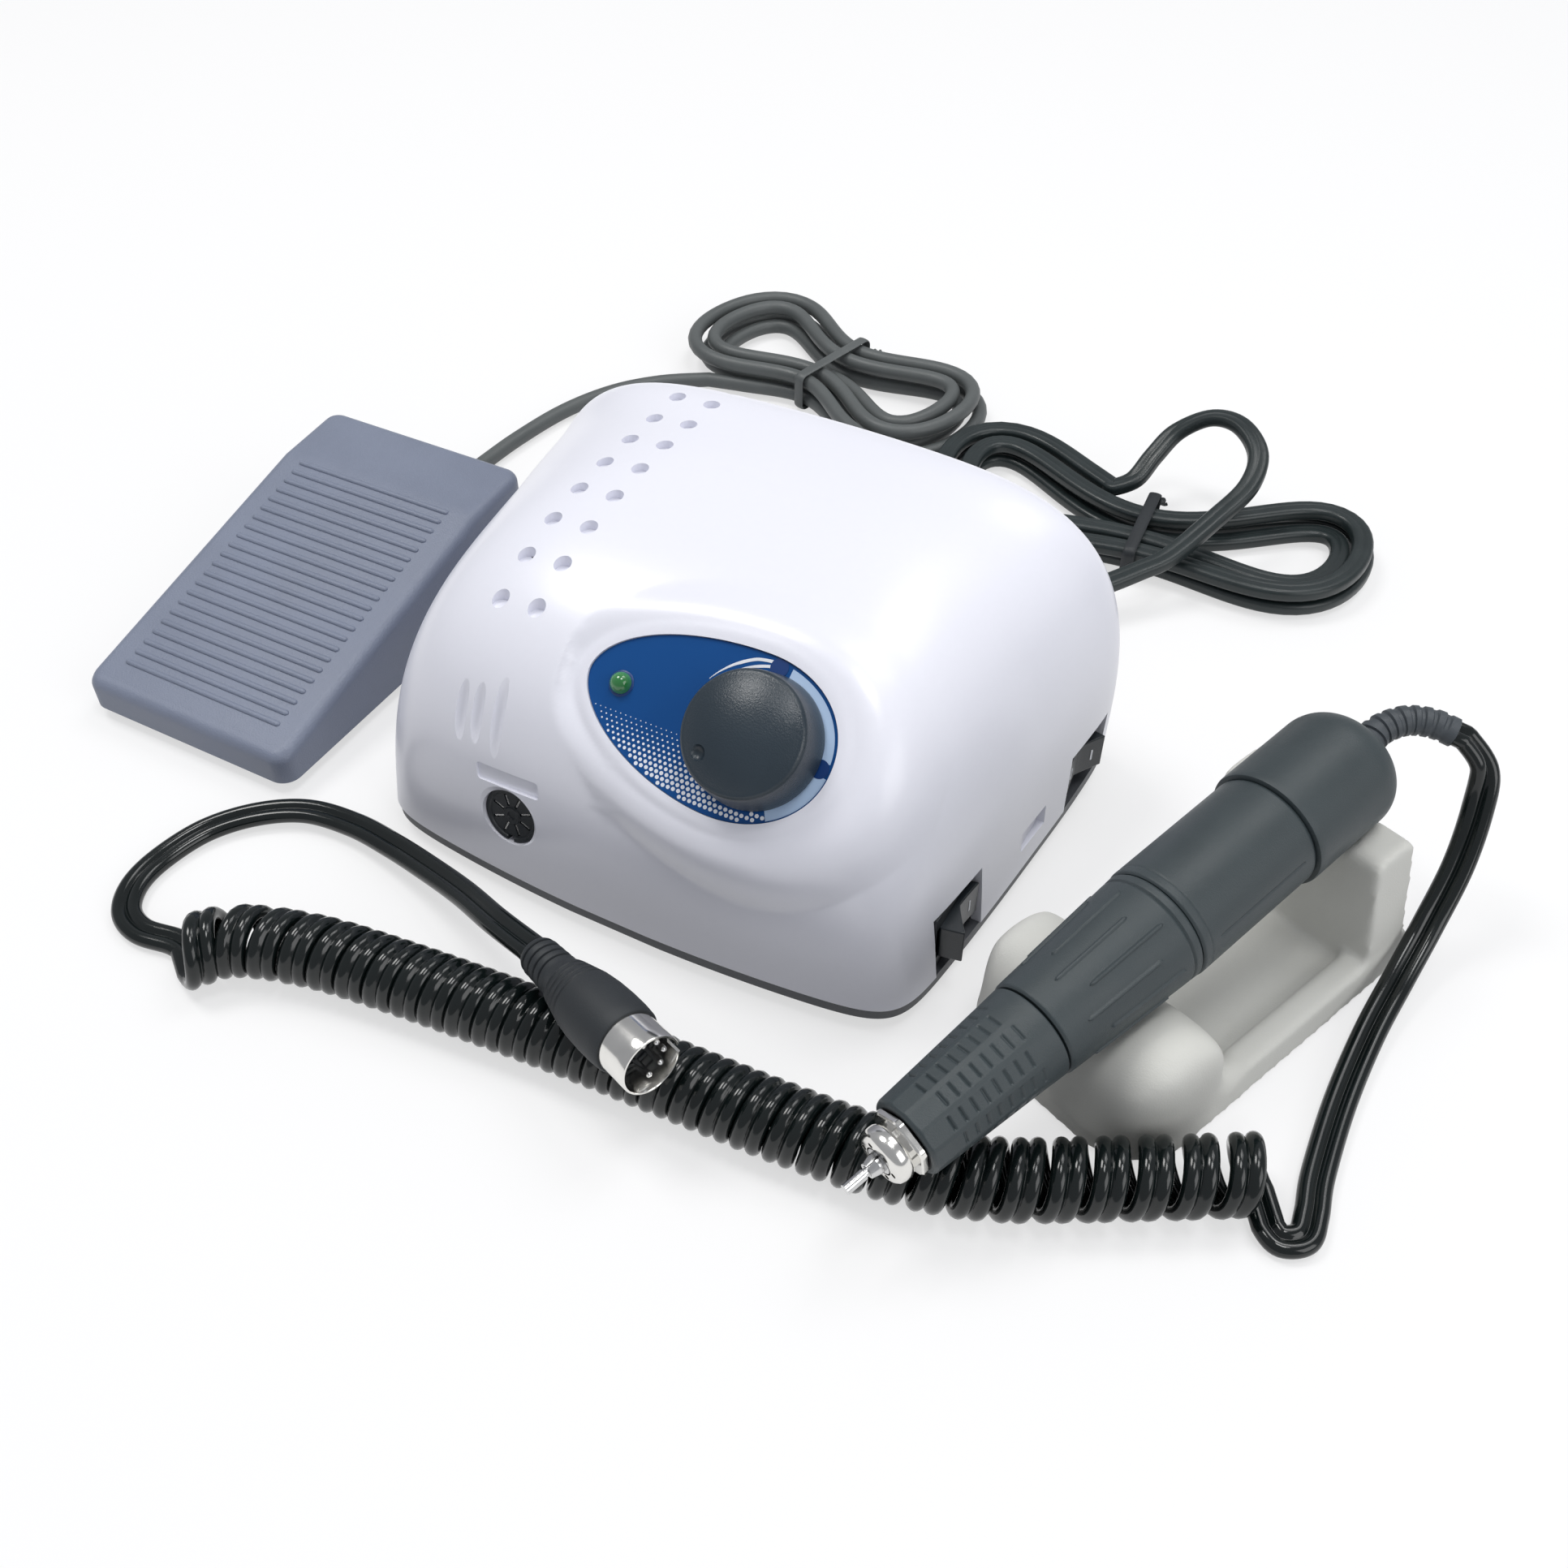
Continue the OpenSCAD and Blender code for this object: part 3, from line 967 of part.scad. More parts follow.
module plug_boot() color([0.07, 0.09, 0.11]) placed() on_plug() mirror([0, 0, 1]) rotate_extrude($fn = 64)
    polygon(concat([[0, 0], [plug_r - 0.3, 0], [plug_r - 0.3, 3], [plug_r - 0.9, 7]],
        [for (i = [0:3]) each let(s = 9 + i * 4, r = mix(plug_r - 1.2, 4, i / 4))
            [[r, s], [r, s + 2.4], [r - 0.9, s + 2.9], [r - 0.9, s + 3.6]]],
        [[3.9, 25.5], [3.8, boot_l], [0, boot_l]]));
module plug_shell() color([0.85, 0.85, 0.87]) placed() on_plug() difference() {
    cylinder(r = plug_r, h = plug_l, $fn = 96);
    translate([0, 0, 1]) cylinder(r = plug_r - 0.7, h = plug_l, $fn = 96);
    translate([-1, plug_r - 1.2, plug_l - 4]) cube([2, 3, 5]);
}
module plug_insert() color([0.06, 0.06, 0.07]) placed() on_plug() difference() {
    translate([0, 0, 1]) cylinder(r = plug_r - 0.7, h = plug_l - 8.5, $fn = 96);
    for (i = [0:4])
        rotate([0, 0, i * 45]) translate([4.1, 0, 2]) cylinder(r = 0.7, h = plug_l, $fn = 24);
}
module plug_pins() color([0.88, 0.88, 0.85]) placed() on_plug()
    for (i = [0:4])
        rotate([0, 0, i * 45]) translate([4.1, 0, 2]) cylinder(r = 0.7, h = plug_l - 3.5, $fn = 24);

// ---- hanks: a bundle drawn in at its waist, laid in two layers ----
// Shape of the innermost loop: l half length, w half waist, b bulge, k bend
function loop_at(q, l, w, b, k) = [l * cos(q), sin(q) * (w + b * cos(q) * cos(q)) + k * pow(l * cos(q), 2)];
function loop_out(q, l, w, b, k) = let(d = loop_at(q + 1, l, w, b, k) - loop_at(q - 1, l, w, b, k))
    unit_v([d[1], -d[0]]);
// Point of a hank after t turns of n in all: steps out by step and climbs from z0 to z1 halfway
function hank_at(t, n, q0, c, yaw, l, w, b, k, step, z0, z1) = let(
    q = q0 + 360 * t,
    half = (n - 0.5) / 2,
    f = t < half ? half - t : t > half + 0.5 ? t - half - 0.5 : 0,
    v = loop_at(q, l, w, b, k) + loop_out(q, l, w, b, k) * f * step,
    z = mix(z0, z1, smooth((t - half) * 2)))
    [c[0] + v[0] * cos(yaw) - v[1] * sin(yaw), c[1] + v[0] * sin(yaw) + v[1] * cos(yaw), z];
function straight_ends(p, d) = concat([p[0] - heading(p, 0) * d], p,
    [p[len(p) - 1] + heading(p, len(p) - 1) * d]);

tie_t = 0.6;
// A flat strip round a hank's waist: from y0 to y1 across, z to top
module tie_band(y0, y1, top, w) rotate([90, 0, 90]) translate([0, 0, -w / 2]) difference() {
    linear_extrude(w) {
        translate([y0 - 0.4 - tie_t, 0]) square([y1 - y0 + 0.8 + 2 * tie_t, top + tie_t]);
    }
    translate([0, 0, -1]) linear_extrude(w + 2)
        translate([y0 - 0.4, tie_t]) square([y1 - y0 + 0.8, top - tie_t]);
}

pedal_hank_c = [-68, 183];
pedal_hank_yaw = -14;
pedal_turns = 4.25;
pedal_low = pedal_cord_d / 2 + tie_t + 0.4;
pedal_step = pedal_cord_d + 1.9;
pedal_layer = pedal_cord_d + 1.2;
pedal_hank_path = [for (i = [0:24 * pedal_turns]) hank_at(i / 24, pedal_turns, 230, pedal_hank_c,
    pedal_hank_yaw, 45, pedal_cord_d / 2 + 0.9, 34, 0, pedal_step, pedal_low, pedal_low + pedal_layer)];
pedal_hank_line = straight_ends(pedal_hank_path, pedal_cord_d);
module pedal_hank() color([0.36, 0.38, 0.38]) placed()
    cord(pedal_hank_line, pedal_cord_d, pedal_cord_d, 6);
module pedal_tie() color([0.4, 0.42, 0.42]) placed()
    translate([pedal_hank_c[0], pedal_hank_c[1], 0]) rotate([0, 0, pedal_hank_yaw])
        tie_band(-18.6, 15.6, pedal_low + pedal_layer + pedal_cord_d / 2 + 0.5, 4);
pedal_lead_start = [pedal_at[0] + pedal_gland_x, pedal_at[1] + pedal_l + 8.9, pedal_gland_z];
pedal_route = [[-146.8, 66, 3.4], [-146.5, 80, 2.6], [-145, 100, 2.6], [-141, 122, 2.6], [-133, 140, 2.8],
    [-121, 153, 3.2]];
module pedal_lead() color([0.36, 0.38, 0.38]) placed()
    cord(between(pedal_lead_start, [0, 1, 0], pedal_route, pedal_hank_line[0], heading(pedal_hank_line, 0), 1),
        pedal_cord_d, pedal_cord_d, 8);
pedal_plug_l = 24;
pedal_plug_y = jack_y + 2.9;
pedal_tail_end = [jack_x, pedal_plug_y + pedal_plug_l, jack_z];
pedal_hank_n = len(pedal_hank_line) - 1;
pedal_tail_route = [[-22, 139, 7], [-20, 128, 5], [-26, 114, 8], [-33, 104, 16]];
module pedal_tail() color([0.36, 0.38, 0.38]) placed()
    cord(between(pedal_hank_line[pedal_hank_n], heading(pedal_hank_line, pedal_hank_n), pedal_tail_route,
        pedal_tail_end, [0, -1, 0], 1), pedal_cord_d, pedal_cord_d, 8);
module pedal_plug() color([0.2, 0.21, 0.22]) placed()
    translate([jack_x, pedal_plug_y, jack_z]) rotate([-90, 0, 0]) {
        translate([0, 0, -15]) cylinder(r = pin_r, h = 16, $fn = 32);
        cylinder(r = 4.8, h = pedal_plug_l - 8, $fn = 48);
        translate([0, 0, pedal_plug_l - 8.01]) cylinder(r1 = 4.8, r2 = 3.2, h = 8.01, $fn = 48);
    }

mains_hank_c = [58, 142];
mains_hank_yaw = 5;
mains_turns = 3.18;
mains_low = mains_t / 2 + tie_t + 0.4;
mains_step = mains_w + 2.2;
mains_layer = mains_t + 1.4;
mains_hank_path = [for (i = [0:24 * mains_turns]) hank_at(i / 24, mains_turns, 122, mains_hank_c,
    mains_hank_yaw, 58, mains_w / 2 + 0.8, 36, 0.0045, mains_step, mains_low + mains_layer, mains_low)];
mains_hank_line = straight_ends(mains_hank_path, mains_w);
module mains_hank() color([0.08, 0.1, 0.1]) placed()
    cord(mains_hank_line, mains_w, mains_t, 6);
module mains_tie() color([0.06, 0.07, 0.07]) placed()
    translate([mains_hank_c[0], mains_hank_c[1], 0]) rotate([0, 0, mains_hank_yaw])
        tie_band(-15.8, 16.8, mains_low + mains_layer + mains_t / 2 + 0.5, 4);
mains_start = [mains_x, mains_gland_y + gland_l, mains_z];
mains_route = [[48, 92, 12.5], [57, 105, 11], [66, 116, 13], [72, 124, 15], [79, 143, 19], [84, 156, 24],
    [82.5, 168, 28], [74, 177.5, 30], [64, 181, 28], [55, 178, 22], [51, 170, 16.5], [48.5, 162, 12],
    [43.5, 159.2, 9]];
module mains_lead() color([0.08, 0.1, 0.1]) placed()
    cord(between(mains_start, [0, 1, 0], mains_route, mains_hank_line[0], heading(mains_hank_line, 0), 1),
        mains_w, mains_t, 8);
// Flat two-pin plug lying behind the unit, its pins towards +X
mains_plug_at = [-9, 93, 7];
mains_plug_l = 34;
mains_hank_n = len(mains_hank_line) - 1;
mains_tail_route = [[-12, 131, 3], [-15.5, 119, 3.2], [-20, 108, 4.2], [-20, 99.5, 5.6], [-16, 94, 6.7]];
module mains_tail() color([0.08, 0.1, 0.1]) placed()
    cord(between(mains_hank_line[mains_hank_n], heading(mains_hank_line, mains_hank_n), mains_tail_route,
        mains_plug_at, [1, 0, 0], 1, 3), mains_w, mains_t, 8);
module mains_plug() color([0.08, 0.09, 0.1]) placed() translate(mains_plug_at) rotate([0, 0, -90]) {
    translate([-4.5, 0, -3.6]) cube([9, 9, 7.2]);
    hull() {
        translate([-8, 8, -5]) cube([16, 2, 10]);
        translate([-13, 18, -6.8]) cube([26, mains_plug_l - 18, 13.6]);
    }
    for (x = [-9.5, 9.5])
        translate([x, mains_plug_l - 0.1, 0]) rotate([-90, 0, 0]) cylinder(r = 2, h = 19, $fn = 32);
}

// Least gap of a tube of w by t to itself, taken on points more than skip steps apart
function gap_of(p, w, t, skip) = min([for (i = [0:len(p) - 1]) for (j = [i + skip:1:len(p) - 1])
    let(d = p[i] - p[j]) if (norm(d) < 3 * w)
        norm(d) * (1 - 1 / norm([norm([d[0], d[1]]) / w, d[2] / t]))]);
echo(least_gap_of_curls = least_gap(curl_path, 5) - flat_w);
echo(least_gap_of_spring = least_gap(spring_path, 5) - spring_wire);
echo(least_gap_of_pedal_hank = gap_of(spline(pedal_hank_path, 3), pedal_cord_d, pedal_cord_d, 20));
echo(least_gap_of_mains_hank = gap_of(spline(mains_hank_path, 3), mains_w, mains_t, 20));

top_shell();
base_tray();
unit_feet();
case_screws();
dial_plate();
power_lamp();
speed_knob();
speed_pot();
pot_shaft();
motor_socket();
power_switch();
power_rocker();
direction_switch();
direction_rocker();
transformer_core();
transformer_winding();
circuit_board();
mains_gland();
pedal_jack();
nose_grip();
nose_nut();
collet();
spindle();
ball_bearings();
front_housing();
lock_sleeve();
motor_case();
stator_magnets();
rotor();
commutator();
brushes();
brush_plate();
rear_cap();
cord_boot();
test_pin();
cradle();
pedal_base();
pedal_cover();
pedal_pin();
pedal_spring();
pedal_switch();
pedal_feet();
pedal_gland();
handpiece_lead();
curly_section();
plug_lead();
plug_boot();
plug_shell();
plug_insert();
plug_pins();
pedal_lead();
pedal_hank();
pedal_tie();
pedal_tail();
pedal_plug();
mains_lead();
mains_hank();
mains_tie();
mains_tail();
mains_plug();
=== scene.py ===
import json
import math
import bpy
import bmesh
from mathutils import Vector, Matrix
import numpy as np

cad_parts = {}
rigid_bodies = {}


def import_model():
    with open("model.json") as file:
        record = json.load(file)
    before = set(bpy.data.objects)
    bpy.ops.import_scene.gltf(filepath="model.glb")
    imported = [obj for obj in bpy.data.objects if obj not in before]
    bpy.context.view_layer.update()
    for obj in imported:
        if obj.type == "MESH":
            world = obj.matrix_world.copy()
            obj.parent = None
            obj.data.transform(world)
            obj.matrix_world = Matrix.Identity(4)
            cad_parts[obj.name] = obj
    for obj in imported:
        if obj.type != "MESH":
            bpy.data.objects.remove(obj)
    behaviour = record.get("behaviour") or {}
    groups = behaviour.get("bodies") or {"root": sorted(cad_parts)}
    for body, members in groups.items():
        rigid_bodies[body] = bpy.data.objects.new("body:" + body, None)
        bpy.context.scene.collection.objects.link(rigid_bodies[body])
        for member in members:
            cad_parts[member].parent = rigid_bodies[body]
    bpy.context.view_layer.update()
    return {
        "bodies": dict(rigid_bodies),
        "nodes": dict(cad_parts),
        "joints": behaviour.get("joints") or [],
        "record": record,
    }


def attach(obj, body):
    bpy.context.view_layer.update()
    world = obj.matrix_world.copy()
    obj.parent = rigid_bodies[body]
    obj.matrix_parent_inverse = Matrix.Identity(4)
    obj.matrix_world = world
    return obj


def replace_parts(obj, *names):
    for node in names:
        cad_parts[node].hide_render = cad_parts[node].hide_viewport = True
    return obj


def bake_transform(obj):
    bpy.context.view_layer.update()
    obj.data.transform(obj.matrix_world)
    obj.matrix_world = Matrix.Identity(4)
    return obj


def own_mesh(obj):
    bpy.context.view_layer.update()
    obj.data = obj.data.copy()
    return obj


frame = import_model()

SET = np.array([1.65, 16.64, 0.0])


# ---------------------------------------------------------------- helpers
def shared(p):
    """Points in mm about the control unit, as metres in the shared frame."""
    return (np.asarray(p, dtype=float) + SET) * 0.001


def place(obj):
    """Put an object into the scene."""
    bpy.context.scene.collection.objects.link(obj)
    return obj


def face_outward(mesh):
    bm = bmesh.new()
    bm.from_mesh(mesh)
    bmesh.ops.recalc_face_normals(bm, faces=bm.faces)
    bm.to_mesh(mesh)
    bm.free()


def finish_mesh(mesh, angle=35.0):
    """Turn the faces outward and shade smooth up to an angle in degrees."""
    face_outward(mesh)
    mesh.shade_smooth()
    mesh.set_sharp_from_angle(angle=math.radians(angle))


def make(name, verts, faces, mat, body="set", slot=None, angle=35.0):
    """A mesh object from points in mm about the unit."""
    mesh = bpy.data.meshes.new(name)
    mesh.from_pydata([tuple(v) for v in shared(verts)], [], [tuple(f) for f in faces])
    mesh.validate()
    mesh.materials.append(mat)
    finish_mesh(mesh, angle)
    obj = place(bpy.data.objects.new(name, mesh))
    if body:
        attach(obj, body)
    return obj


def grid_faces(m, n, closed=True):
    """Quads between m rings of n points each."""
    out = []
    w = n if closed else n - 1
    for i in range(m - 1):
        for j in range(w):
            k = (j + 1) % n
            out.append((i * n + j, i * n + k, (i + 1) * n + k, (i + 1) * n + j))
    return out


def loop_faces(m, n):
    """Faces of m closed rings of n points whose last ring joins the first."""
    last = (m - 1) * n
    return grid_faces(m, n) + [(last + j, last + (j + 1) % n, (j + 1) % n, j) for j in range(n)]


def tube_faces(m, n):
    """Faces of m closed rings of n points, with both ends capped."""
    out = grid_faces(m, n)
    out.append(tuple(range(n)))
    out.append(tuple((m - 1) * n + j for j in reversed(range(n))))
    return out


def unit(v):
    v = np.asarray(v, dtype=float)
    return v / np.linalg.norm(v)


def rot(axis, deg):
    """Matrix of a turn about one axis."""
    a = math.radians(deg)
    c = math.cos(a)
    s = math.sin(a)
    if axis == "x":
        return np.array([[1, 0, 0], [0, c, -s], [0, s, c]])
    if axis == "y":
        return np.array([[c, 0, s], [0, 1, 0], [-s, 0, c]])
    return np.array([[c, -s, 0], [s, c, 0], [0, 0, 1]])


class Place:
    """A local frame: its turn and its origin, in mm about the unit."""

    def __init__(self, at, turn):
        self.at = np.asarray(at, dtype=float)
        self.turn = turn

    def __call__(self, p):
        return np.asarray(p, dtype=float) @ self.turn.T + self.at


HERE = Place([0, 0, 0], np.eye(3))
DIAL = Place([30, -47, 63], rot("x", 40))
HAND_AT = np.array([91, -98.5, 27])
HAND = Place(HAND_AT, rot("z", -21.5) @ rot("x", -(90 - 7.8)))
CRADLE = Place([124, -14.8, 0], rot("z", -21.5))
PEDAL = Place([-135, -65.5, 0], np.eye(3))


def hand_pt(s):
    """Point on the handpiece's axis, s mm behind its nose."""
    return HAND([[0, 0, s]])[0]


def turned(profile, n, frame=HERE, closed=False):
    """Points and faces of a profile of [radius, height], turned about the frame's Z."""
    prof = np.asarray(profile, dtype=float)
    q = np.arange(n) * 2 * math.pi / n
    rings = np.stack([prof[:, 0, None] * np.cos(q), prof[:, 0, None] * np.sin(q),
                      np.repeat(prof[:, 1, None], n, 1)], -1).reshape(-1, 3)
    return frame(rings), (loop_faces if closed else tube_faces)(len(prof), n)


def lathe(name, profile, mat, frame=HERE, n=128, body="set", slot=None, angle=35.0, closed=False):
    """A turned piece."""
    return make(name, *turned(profile, n, frame, closed), mat, body, slot, angle)


def arc(cx, cy, r, a0, a1, n):
    """Points of an arc, from angle a0 to a1 in degrees."""
    return [[cx + r * math.cos(math.radians(a0 + (a1 - a0) * i / n)),
             cy + r * math.sin(math.radians(a0 + (a1 - a0) * i / n))] for i in range(n + 1)]


def rounded_rect(w, h, r, n=6):
    """Outline of a rectangle with rounded corners."""
    pts = []
    for cx, cy, a in ((1, 1, 0), (-1, 1, 90), (-1, -1, 180), (1, -1, 270)):
        pts += arc(cx * (w / 2 - r), cy * (h / 2 - r), r, a, a + 90, n)
    return pts


def disc(r, n=48):
    return [[r * math.cos(2 * math.pi * i / n), r * math.sin(2 * math.pi * i / n)] for i in range(n)]


def prism(outline, z0, z1, frame=HERE):
    """Points and faces of a straight prism on an outline."""
    o = np.asarray(outline, dtype=float)
    n = len(o)
    low = np.column_stack([o, np.full(n, z0)])
    high = np.column_stack([o, np.full(n, z1)])
    faces = [tuple(reversed(range(n))), tuple(range(n, 2 * n))]
    for j in range(n):
        k = (j + 1) % n
        faces.append((j, k, n + k, n + j))
    return frame(np.vstack([low, high])), faces


def join(parts):
    """One point list and face list from several."""
    verts = []
    faces = []
    at = 0
    for v, f in parts:
        verts.append(np.asarray(v))
        faces += [tuple(i + at for i in q) for q in f]
        at += len(v)
    return np.vstack(verts), faces


def block(lo, hi, frame=HERE):
    """Points and faces of a box between two corners."""
    return prism([[lo[0], lo[1]], [hi[0], lo[1]], [hi[0], hi[1]], [lo[0], hi[1]]], lo[2], hi[2], frame)


def cut(obj, parts, angle=30):
    """Cut solids, each given as points in mm and faces, out of an object's mesh."""
    verts, faces = join(parts)
    mesh = bpy.data.meshes.new("cutter")
    mesh.from_pydata([tuple(v) for v in shared(verts)], [], faces)
    face_outward(mesh)
    tool = place(bpy.data.objects.new("cutter", mesh))
    mod = obj.modifiers.new("cut", "BOOLEAN")
    mod.operation = "DIFFERENCE"
    mod.solver = "EXACT"
    mod.use_self = True
    mod.object = tool
    deps = bpy.context.evaluated_depsgraph_get()
    new = bpy.data.meshes.new_from_object(obj.evaluated_get(deps))
    obj.modifiers.clear()
    old = obj.data
    obj.data = new
    bpy.data.meshes.remove(old)
    bpy.data.objects.remove(tool)
    bpy.data.meshes.remove(mesh)
    finish_mesh(new, angle)


# ---------------------------------------------------------------- materials
def new_material(name):
    mat = bpy.data.materials.new(name)
    mat.use_nodes = True
    return mat, mat.node_tree, mat.node_tree.nodes["Principled BSDF"]


def stuff(name, base, rough=0.5, metal=0.0, vary=0.05, vary_scale=60.0, bump=0.0, bump_scale=900.0,
          rough_vary=0.06, coat=0.0, coat_rough=0.1, ior=1.5, streak=None):
    """A procedural material with some drift of colour and gloss, and a fine surface texture."""
    mat, nt, bsdf = new_material(name)
    for key, value in (("Metallic", metal), ("IOR", ior), ("Coat Weight", coat),
                       ("Coat Roughness", coat_rough)):
        bsdf.inputs[key].default_value = value
    co = nt.nodes.new("ShaderNodeTexCoord")
    src = co.outputs["Object"]
    if streak:
        mp = nt.nodes.new("ShaderNodeMapping")
        mp.inputs["Scale"].default_value = streak
        nt.links.new(src, mp.inputs["Vector"])
        src = mp.outputs["Vector"]
    big = nt.nodes.new("ShaderNodeTexNoise")
    big.inputs["Scale"].default_value = vary_scale
    big.inputs["Detail"].default_value = 4.0
    nt.links.new(src, big.inputs["Vector"])
    ramp = nt.nodes.new("ShaderNodeValToRGB")
    ramp.color_ramp.elements[0].position = 0.3
    ramp.color_ramp.elements[1].position = 0.7
    ramp.color_ramp.elements[0].color = (*[max(0.0, c * (1 - vary)) for c in base], 1)
    ramp.color_ramp.elements[1].color = (*[min(1.0, c * (1 + vary)) for c in base], 1)
    nt.links.new(big.outputs["Fac"], ramp.inputs["Fac"])
    nt.links.new(ramp.outputs["Color"], bsdf.inputs["Base Color"])
    fine = nt.nodes.new("ShaderNodeTexNoise")
    fine.inputs["Scale"].default_value = bump_scale
    fine.inputs["Detail"].default_value = 3.0
    nt.links.new(src, fine.inputs["Vector"])
    span = nt.nodes.new("ShaderNodeMapRange")
    span.inputs["From Min"].default_value = 0.3
    span.inputs["From Max"].default_value = 0.7
    span.inputs["To Min"].default_value = max(0.02, rough - rough_vary)
    span.inputs["To Max"].default_value = min(1.0, rough + rough_vary)
    nt.links.new(big.outputs["Fac"], span.inputs["Value"])
    nt.links.new(span.outputs["Result"], bsdf.inputs["Roughness"])
    if bump > 0:
        bp = nt.nodes.new("ShaderNodeBump")
        bp.inputs["Strength"].default_value = bump
        bp.inputs["Distance"].default_value = 0.0002
        nt.links.new(fine.outputs["Fac"], bp.inputs["Height"])
        nt.links.new(bp.outputs["Normal"], bsdf.inputs["Normal"])
    return mat


WHITE = stuff("shell_plastic", (0.85, 0.855, 0.93), rough=0.3, vary=0.004, vary_scale=600, bump=0.04,
              bump_scale=1800, rough_vary=0.01, coat=0.15, coat_rough=0.15)
TRAY = stuff("tray_plastic", (0.07, 0.075, 0.085), rough=0.5, vary=0.08, bump=0.25, bump_scale=2500)
RUBBER = stuff("black_rubber", (0.02, 0.024, 0.028), rough=0.55, vary=0.1, bump=0.2, bump_scale=2200)
BOOT = stuff("boot_rubber", (0.055, 0.065, 0.075), rough=0.5, vary=0.08, bump=0.25, bump_scale=2200)
KNOB = stuff("knob_plastic", (0.021, 0.034, 0.047), rough=0.31, vary=0.05, bump=0.35, bump_scale=2600)
BLUE = stuff("dial_film", (0.006, 0.072, 0.262), rough=0.34, vary=0.08, vary_scale=25, bump=0.06,
             bump_scale=1800, ior=1.3)
PALE = stuff("dial_pale_print", (0.45, 0.6, 0.82), rough=0.35, vary=0.03)
DEEP = stuff("dial_deep_print", (0.004, 0.04, 0.18), rough=0.35, vary=0.05)
INK = stuff("white_print", (0.85, 0.87, 0.92), rough=0.4, vary=0.02)
ROCKER = stuff("rocker_plastic", (0.012, 0.017, 0.022), rough=0.32, vary=0.08, bump=0.12, bump_scale=2600)
BLACK = stuff("black_plastic", (0.012, 0.016, 0.02), rough=0.42, vary=0.08, bump=0.2, bump_scale=2400)
GRIP = stuff("handpiece_coating", (0.037, 0.05, 0.055), rough=0.46, vary=0.05, vary_scale=90, bump=0.35,
             bump_scale=3200, rough_vary=0.05)
STEEL = stuff("turned_steel", (0.62, 0.62, 0.62), rough=0.22, metal=1.0, vary=0.05, bump=0.1,
              bump_scale=1500, streak=(1, 1, 8))
CHROME = stuff("plug_chrome", (0.78, 0.77, 0.74), rough=0.16, metal=1.0, vary=0.04, vary_scale=200,
               rough_vary=0.05)
STONE = stuff("cradle_plastic", (0.66, 0.66, 0.62), rough=0.62, vary=0.025, vary_scale=40, bump=0.3,
              bump_scale=2600)
SLATE = stuff("pedal_plastic", (0.2, 0.228, 0.305), rough=0.42, vary=0.05, vary_scale=50, bump=0.55,
              bump_scale=2300)
SLATE_DARK = stuff("pedal_base_plastic", (0.07, 0.08, 0.1), rough=0.55, vary=0.06, bump=0.3)
JET = stuff("curly_cord_skin", (0.004, 0.007, 0.007), rough=0.14, vary=0.15, vary_scale=120, rough_vary=0.04,
            bump=0.05, bump_scale=1200)
MAINS = stuff("mains_cord_skin", (0.016, 0.024, 0.025), rough=0.36, vary=0.12, vary_scale=90, bump=0.12,
              bump_scale=1600)
GREY_CORD = stuff("pedal_cord_skin", (0.1, 0.11, 0.11), rough=0.45, vary=0.08, bump=0.15, bump_scale=1600)
COPPER = stuff("copper_wire", (0.55, 0.25, 0.12), rough=0.35, metal=1.0, vary=0.1, streak=(1, 1, 40))
BOARD = stuff("board_lacquer", (0.02, 0.14, 0.06), rough=0.35, vary=0.1, vary_scale=200)
CARBON = stuff("dark_metal", (0.06, 0.06, 0.065), rough=0.5, metal=0.6, vary=0.1, bump=0.2)


def lamp_material():
    """Clear green lens, paler where it is seen edge on: a painted reflection at its rim."""
    mat, nt, bsdf = new_material("green_lens")
    bsdf.inputs["Roughness"].default_value = 0.08
    bsdf.inputs["Coat Weight"].default_value = 0.6
    # painted reflection: the lens colour turns paler towards its rim, where it is seen edge on
    painted_edge_reflection = nt.nodes.new("ShaderNodeLayerWeight")
    painted_edge_reflection.inputs["Blend"].default_value = 0.45
    ramp = nt.nodes.new("ShaderNodeValToRGB")
    ramp.color_ramp.elements[0].color = (0.02, 0.17, 0.04, 1)
    ramp.color_ramp.elements[1].color = (0.10, 0.36, 0.14, 1)
    nt.links.new(painted_edge_reflection.outputs["Facing"], ramp.inputs["Fac"])
    nt.links.new(ramp.outputs["Color"], bsdf.inputs["Base Color"])
    return mat


LENS = lamp_material()

# ---------------------------------------------------------------- camera
cam_data = bpy.data.cameras.new("camera")
cam_data.sensor_width = 36.0
cam_data.sensor_height = 36.0
cam_data.lens = 36.0
cam_data.clip_start = 0.01
cam = place(bpy.data.objects.new("camera", cam_data))
cam.location = tuple(shared([150.3, -257.3, 291.0]))
cam.rotation_euler = (math.radians(45.2), 0.0, math.radians(28.47))
bpy.context.scene.camera = cam


# ---------------------------------------------------------------- cord routes
def cr(a, b, c, d, t):
    """Catmull-Rom curve from b to c."""
    return 0.5 * ((2 * b) + (c - a) * t + (2 * a - 5 * b + 4 * c - d) * t * t
                  + (3 * b - a - 3 * c + d) * t ** 3)


def spline(p, k):
    """A smooth line through points, with k steps between each two."""
    p = [np.asarray(v, dtype=float) for v in p]
    n = len(p) - 1
    out = []
    for i in range(n):
        for j in range(k):
            out.append(cr(p[max(i - 1, 0)], p[i], p[i + 1], p[min(i + 2, n)], j / k))
    out.append(p[n])
    return out


def heading(p, i):
    """Direction of a path at its point i."""
    n = len(p) - 1
    return unit(np.asarray(p[min(i + 1, n)]) - np.asarray(p[max(i - 1, 0)]))


def between(a, da, p, b, db, k, l=5.0):
    """A smooth line from a to b that leaves and arrives straight."""
    a = np.asarray(a, dtype=float)
    b = np.asarray(b, dtype=float)
    return [a] + spline([a + unit(da) * l] + list(p) + [b - unit(db) * l], k) + [b]


